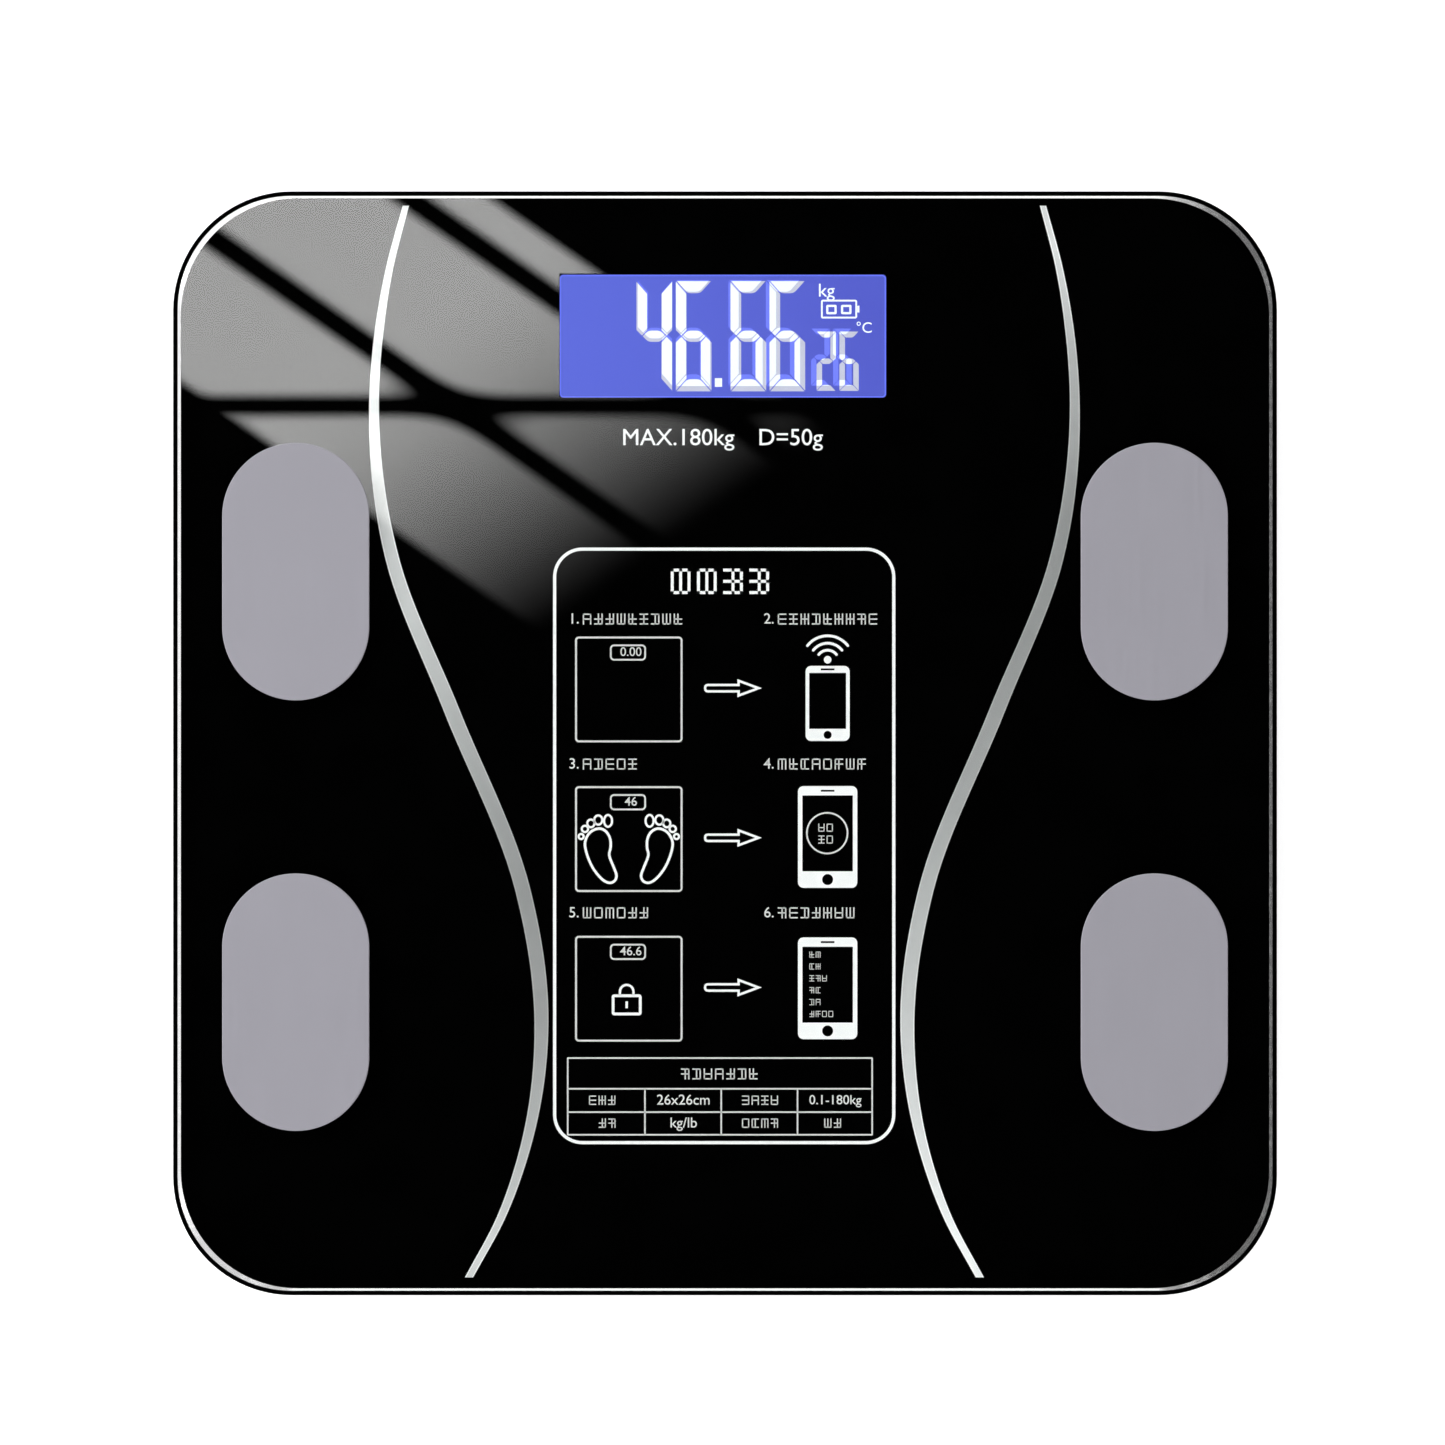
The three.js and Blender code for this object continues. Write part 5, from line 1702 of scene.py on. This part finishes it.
def waist_silver(name, tones):
    """Silver-white ink whose tone changes along the line."""
    finish = Finish(name, (0.8, 0.8, 0.8), 0.6, Specular_IOR_Level=0.0)
    along = finish.axis("Y").spread(WAIST[0][0] * MM, WAIST[-1][0] * MM)
    tone = finish.ramp(along, [(place, (grey, grey, grey)) for place, grey in tones])
    flake = finish.noise(900, 2).step(0.3, 0.7)
    finish.set("Base Color", finish.mix(flake * 0.04, tone, (0.3, 0.3, 0.3)))
    finish.bump(flake, 0.05, 0.01 * MM)
    return finish.block


# ---------------------------------------------------------------- assembly

def dress(finish, *nodes):
    """Gives frame nodes that are shown as they are their finish."""
    for node in nodes:
        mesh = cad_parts[node].data
        mesh.materials.clear()
        mesh.materials.append(finish)


def at_ends(stem):
    return [f"{stem}_{end}" for end in ENDS]


def add_studio():
    make_camera()
    make_world()
    make_floor()
    softbox("lamp_left", 180, 42, 2.2, (1.6, 1.2), 20)
    softbox("lamp_rear", 90, 42, 2.2, (1.6, 1.2), 16)
    softbox("lamp_front", 270, 42, 2.2, (1.6, 1.2), 16)
    softbox("lamp_right", 0, 42, 2.2, (1.2, 0.8), 7)
    window_light()


def add_platform():
    white = ink("white_ink", (0.95, 0.95, 0.95), 0.03).block
    fine_white = ink("fine_white_ink", (0.72, 0.71, 0.7), 0.05).block
    black = ink("black_ink", (0.0006, 0.0006, 0.0006), 0.4).block
    finished(glass_sheet(), clear_glass(), "root", ["glass_platform"], 16)
    finished(ground_chamfer(), bright_bevel(), "root")
    # The arris gets a black skin of painted shade.
    finished(edge_coat(), black, "root")
    finished(black_print(), black, "root")
    for side, tones in WAIST_TONES.items():
        finished(waist_core(side), waist_silver(waist_name("waist_silver", side), tones), "root")
        pale = [(place, min(tone * 1.3, 0.97)) for place, tone in tones]
        finished(waist_borders(side), waist_silver(waist_name("waist_pale", side), pale), "root")
    bold_print, telephone_openings = panel_print()
    finished(bold_print, white, "root")
    finished(panel_openings(telephone_openings), black, "root")
    finished(panel_fine_print(), fine_white, "root")
    finished(heading_print(), white, "root")
    steel = brushed_steel("electrode_steel", (0.4, 0.39, 0.438), roughness=0.52, metallic=0.5)
    for end in ENDS:
        finished(electrode_plate(end), steel, "root", [f"electrode_{end}"], 15)
    dress(bare_metal("contact_brass", (0.75, 0.55, 0.25)), *at_ends("contact_stud"))


def add_display():
    finished(display_field(), display_ground(), "root")
    finished(display_rim(), display_light("display_rim", (0.15, 0.19, 0.9)), "root")
    finished(display_echo(), display_light("display_echo", (0.165, 0.2, 0.87)), "root")
    finished(display_bars(), display_light("display_bars", (0.52, 0.52, 0.64)), "root")
    finished(display_bright(), display_light("display_bright", (0.86, 0.9, 1.0)), "root")
    dress(display_glass(), "lcd_panel")
    dress(light_guide(), "backlight")
    dress(zebra_rubber(), "zebra_strip")
    dress(moulded("display_frame", (0.75, 0.75, 0.73), 0.5), "lcd_frame")


def add_base():
    tray = matt_black_tray()
    foam = seal_foam_finish()
    finished(tray_shell(), tray, "root", ["base_tray"], 28)
    finished(unit_marks(), moulded("mark_plastic", (0.06, 0.06, 0.062), 0.4), "root")
    finished(seal_foam(), foam, "root", ["perimeter_tape"])
    dress(foam, "lcd_gasket")
    rubber = foot_rubber()
    cup = moulded("foot_plastic", (0.04, 0.04, 0.042), 0.42)
    for end, centre in foot_places().items():
        finished(foot_cup(end, centre), cup, f"foot_{end}", [f"foot_cup_{end}"])
        finished(foot_tread(end, centre), rubber, f"foot_{end}", [f"foot_pad_{end}"])
        glue = moulded("gauge_glue", (0.75, 0.74, 0.7), 0.35)
        finished(strain_gauge(end, centre), glue, "root")
    button = moulded("button_plastic", (0.3, 0.3, 0.31), 0.35)
    finished(button_cap(), button, "unit_button", ["unit_button"])
    cover = moulded("cover_plastic", (0.042, 0.042, 0.044), 0.46, 2300)
    finished(cover_plate(), cover, "battery_cover", ["battery_cover"], 28)
    finished(cover_arrow(), cover, "battery_cover")
    finished(cover_ridges(cover), cover, "battery_cover")
    dress(bare_metal("load_cell_steel", (0.6, 0.61, 0.63), 0.32), *at_ends("load_cell"))
    dress(moulded("holder_plastic", (0.78, 0.78, 0.76), 0.5), *at_ends("cell_holder"))


def add_power():
    spring = bare_metal("contact_spring", (0.72, 0.73, 0.74), 0.22)
    tin = bare_metal("battery_metal", (0.7, 0.69, 0.66), 0.25)
    for node in ("battery_left", "battery_right"):
        finished(cell_sleeve(node), sleeve_finish(node), "root", [node])
        finished(cell_metal(node), tin, "root")
    for node, parts in battery_contacts().items():
        finished(merged(f"{node}_sprung", parts), spring, "root", [node])
    dress(lead_sleeve("lead_red", (0.55, 0.02, 0.015)), "battery_lead_red")
    dress(lead_sleeve("lead_black", (0.02, 0.02, 0.02)), "battery_lead_black")


def add_electronics():
    parts = soldered_parts()
    board = circuit_board()
    dress(board, "main_board")
    upper = board_parts("board_parts_upper", parts, (0.0, 75.4), (92.0, 1.6), (28, 2), 0.6, True, 3)
    under = board_parts("board_parts_under", parts, (4.0, 88.0), (60.0, 3.6), (18, 2), 0.9, False, 5)
    for piece in (upper, under):
        finished(piece, parts, "root")
    tin = bare_metal("module_can", (0.62, 0.62, 0.6), 0.35)
    finished(chip_legs(tin), tin, "root")
    epoxy = moulded("chip_epoxy", (0.018, 0.018, 0.02), 0.4)
    dress(epoxy, "controller_chip", "temperature_sensor", "tact_switch")
    dress(tin, "radio_module")
    dress(bare_metal("screw_steel", (0.5, 0.5, 0.52), 0.35), *at_ends("board_screw"))
    dress(lead_sleeve("cell_lead_sleeve", (0.25, 0.25, 0.26)), *at_ends("cell_lead"))
    dress(lead_sleeve("electrode_lead_sleeve", (0.8, 0.8, 0.78)), *at_ends("electrode_lead"))


add_studio()
add_platform()
add_display()
add_base()
add_power()
add_electronics()
bpy.context.scene.view_settings.view_transform = "Standard"
